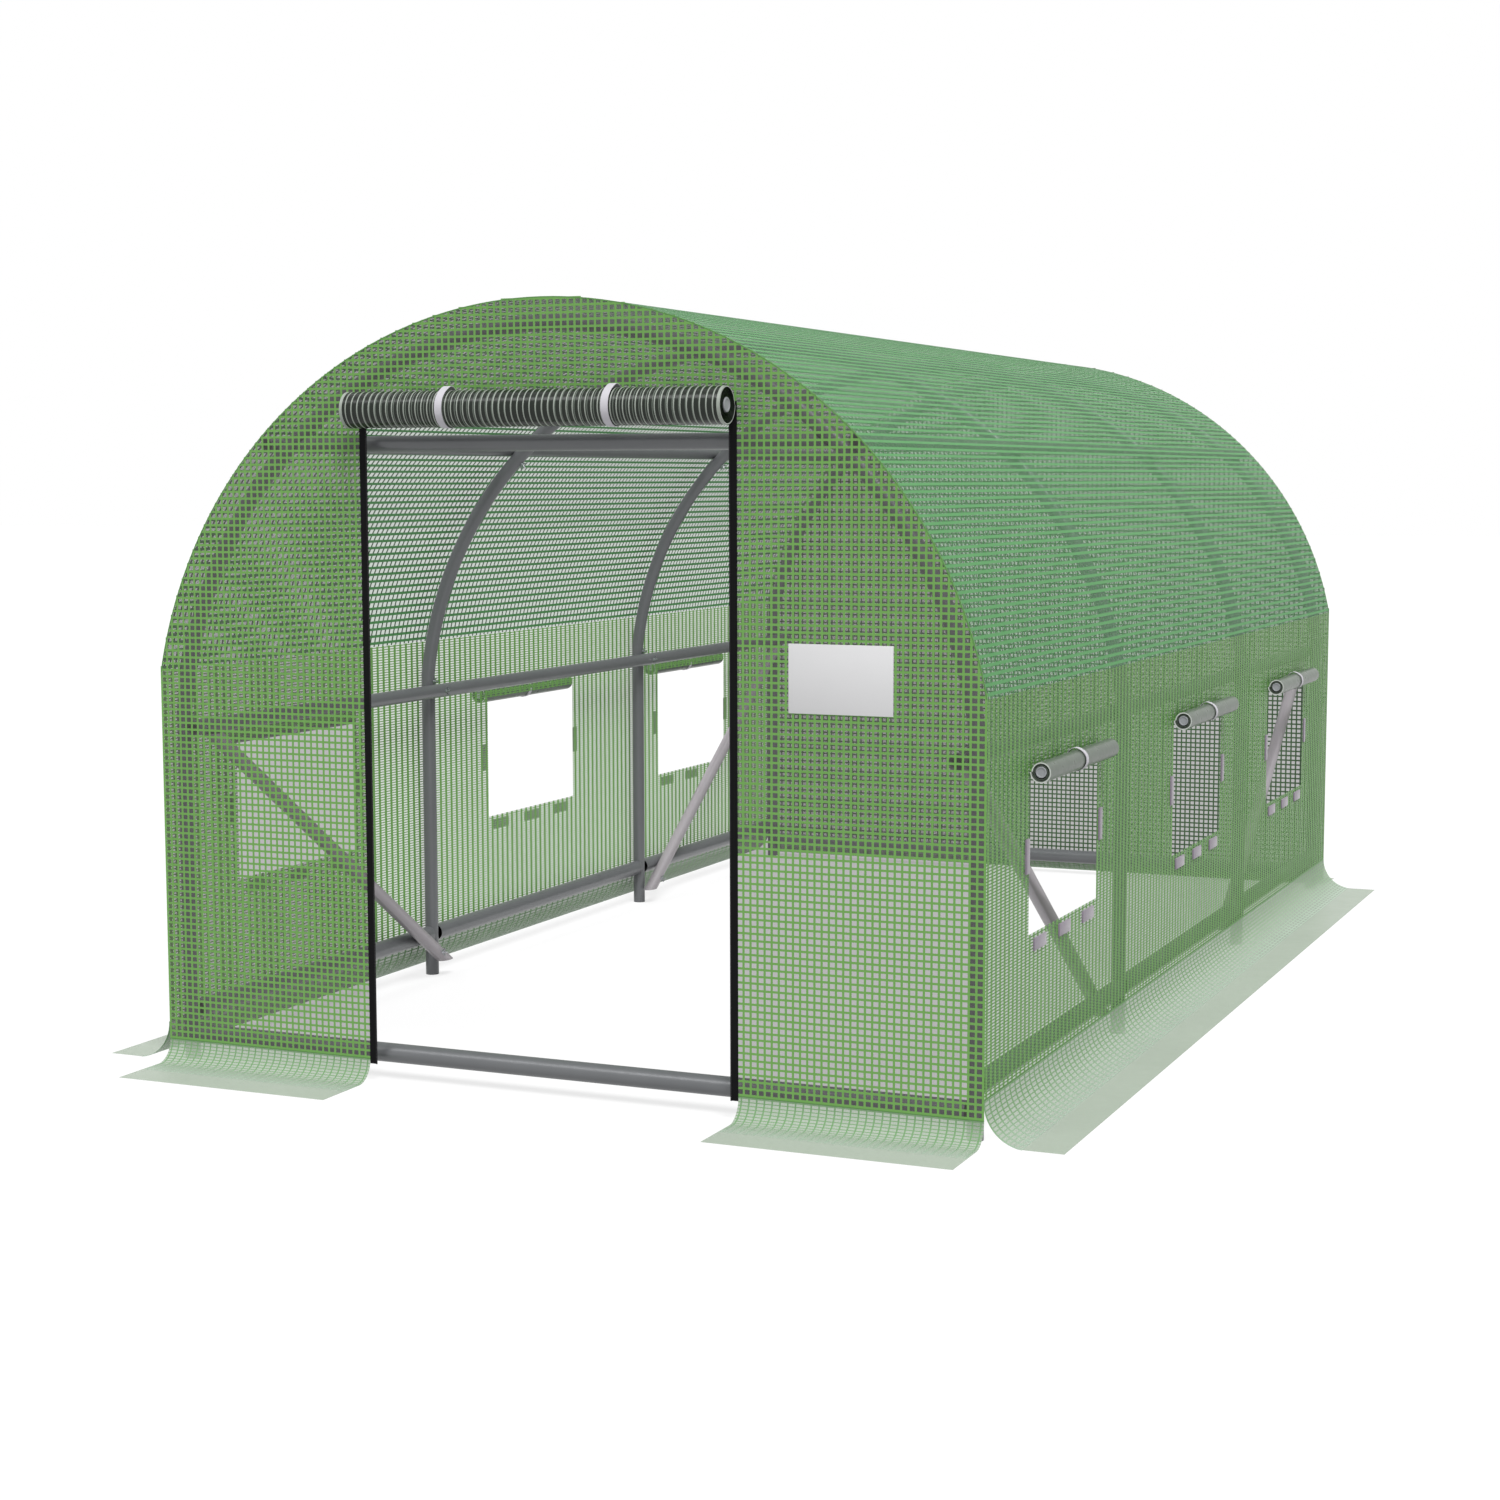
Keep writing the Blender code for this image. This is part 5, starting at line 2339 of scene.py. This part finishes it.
@dataclass
class Studio:
    """Floor, light and camera.

    Attributes:
        floor_size: side of the square floor.
        floor_bounce: reflectance of the floor for the light that it throws back.
        floor_shown: reflectance of the floor as the camera sees it.
        floor_glow: what the camera's floor adds to that, so that open floor is white.
        sky: strength of the even light from all round.
        lamps: for each soft lamp its strength, its width in degrees and where it comes from.
        eye: the camera's place.
        azimuth: degrees that the camera stands to the right of straight ahead.
        elevation: degrees that it looks down.
        roll: degrees that it is turned about its view.
        lens: focal length in millimetres.
        sensor: width of the sensor in millimetres.
    """

    floor_size: float = 120.0
    floor_bounce: float = 0.45
    floor_shown: float = 0.26
    floor_glow: float = 0.7
    sky: float = 0.62
    lamps: tuple[tuple[float, float, Triple], ...] = (
        (2.5, 25, (0.4, -0.42, 0.85)),
        (0.5, 20, (-0.39, -0.55, 0.74)),
    )
    eye: Triple = (2.970, -7.654, 1.559)
    azimuth: float = 23.39
    elevation: float = 6.09
    roll: float = -0.10
    lens: float = 61.25
    sensor: float = 36.0

    @staticmethod
    def seen(tree: NodeTree) -> Socket:
        """1 for a ray that the camera, a reflection or a clear surface sends, and else 0.

        Args:
            tree: the node tree.

        Returns:
            The socket with that number.
        """
        path = add_node(tree, "ShaderNodeLightPath").outputs
        either = {0: path["Is Camera Ray"], 1: path["Is Glossy Ray"]}
        first = add_node(tree, "ShaderNodeMath", {"operation": "MAXIMUM"}, either)
        last = {0: first.outputs[0], 1: path["Is Transmission Ray"]}
        return add_node(tree, "ShaderNodeMath", {"operation": "MAXIMUM"}, last).outputs[0]

    def split(self, tree: NodeTree, unseen: Socket, seen: Socket) -> Socket:
        """One shader for the rays that the method seen picks out, and another for the rest."""
        shaders = {0: self.seen(tree), 1: unseen, 2: seen}
        return add_node(tree, "ShaderNodeMixShader", inputs=shaders).outputs[0]

    def floor(self) -> None:
        """White floor that keeps the tunnel's shadow."""
        half = self.floor_size / 2
        data = bpy.data.meshes.new("studio_floor")
        outline = [(-half, -half, 0), (half, -half, 0), (half, half, 0), (-half, half, 0)]
        data.from_pydata(outline, [], [(0, 1, 2, 3)])
        made = bpy.data.materials.new("studio_floor")
        made.use_nodes = True
        tree = made.node_tree
        tree.nodes.clear()
        greys = [{"Color": (grey, grey, grey, 1)} for grey in (self.floor_bounce, self.floor_shown)]
        bounce, shown = (
            add_node(tree, "ShaderNodeBsdfDiffuse", inputs=grey).outputs[0] for grey in greys
        )
        glow = add_node(tree, "ShaderNodeEmission", inputs={"Strength": self.floor_glow}).outputs[0]
        bright = add_node(tree, "ShaderNodeAddShader", inputs={0: shown, 1: glow}).outputs[0]
        surface = {"Surface": self.split(tree, bounce, bright)}
        add_node(tree, "ShaderNodeOutputMaterial", inputs=surface)
        data.materials.append(made)
        floor = bpy.data.objects.new("studio_floor", data)
        bpy.context.collection.objects.link(floor)

    def world(self) -> None:
        """Even light from all round, in front of a white background."""
        world = bpy.data.worlds.new("studio")
        world.use_nodes = True
        tree = world.node_tree
        tree.nodes.clear()
        whites = [{"Color": (1, 1, 1, 1), "Strength": strength} for strength in (self.sky, 1.0)]
        light, background = (
            add_node(tree, "ShaderNodeBackground", inputs=white).outputs[0] for white in whites
        )
        surface = {"Surface": self.split(tree, light, background)}
        add_node(tree, "ShaderNodeOutputWorld", inputs=surface)
        bpy.context.scene.world = world

    def hang_lamps(self) -> None:
        """Soft lamps above the front, the strong one on the right and the weak one on the left."""
        for strength, width, source in self.lamps:
            light = bpy.data.lights.new("soft_lamp", "SUN")
            light.energy = strength
            light.angle = math.radians(width)
            lamp = bpy.data.objects.new("soft_lamp", light)
            lamp.rotation_euler = Vector(source).to_track_quat("Z", "Y").to_euler()
            bpy.context.collection.objects.link(lamp)

    def camera(self) -> None:
        """Camera at the photograph's viewing angle."""
        around, down, tilt = (math.radians(a) for a in (self.azimuth, self.elevation, self.roll))
        level_back = Vector((math.sin(around), -math.cos(around), 0))
        back = math.cos(down) * level_back + Vector((0, 0, math.sin(down)))
        right = Vector((math.cos(around), math.sin(around), 0))
        up = back.cross(right)
        turned_right = math.cos(tilt) * right + math.sin(tilt) * up
        turned_up = math.cos(tilt) * up - math.sin(tilt) * right
        view = bpy.data.cameras.new("camera")
        view.lens = self.lens
        view.sensor_width = self.sensor
        camera = bpy.data.objects.new("camera", view)
        turn = Matrix((turned_right, turned_up, back)).transposed().to_4x4()
        camera.matrix_world = Matrix.Translation(Vector(self.eye)) @ turn
        bpy.context.collection.objects.link(camera)
        bpy.context.scene.camera = camera

    def build(self) -> None:
        """Sets the stage."""
        bpy.context.scene.view_settings.view_transform = "Standard"
        self.camera()
        self.floor()
        self.world()
        self.hang_lamps()


def main() -> None:
    """Builds the polytunnel's looks in order."""
    logging.basicConfig(level=logging.INFO, format="%(name)s: %(message)s")
    tunnel = Tunnel.read()
    tools = Tools()
    Studio().build()
    TubeFrame(tunnel, tools).build()
    Cover(tunnel, tools).build()
    Door(tunnel, tools).build()
    Windows(tunnel, tools).build()


if __name__ == "__main__":
    main()
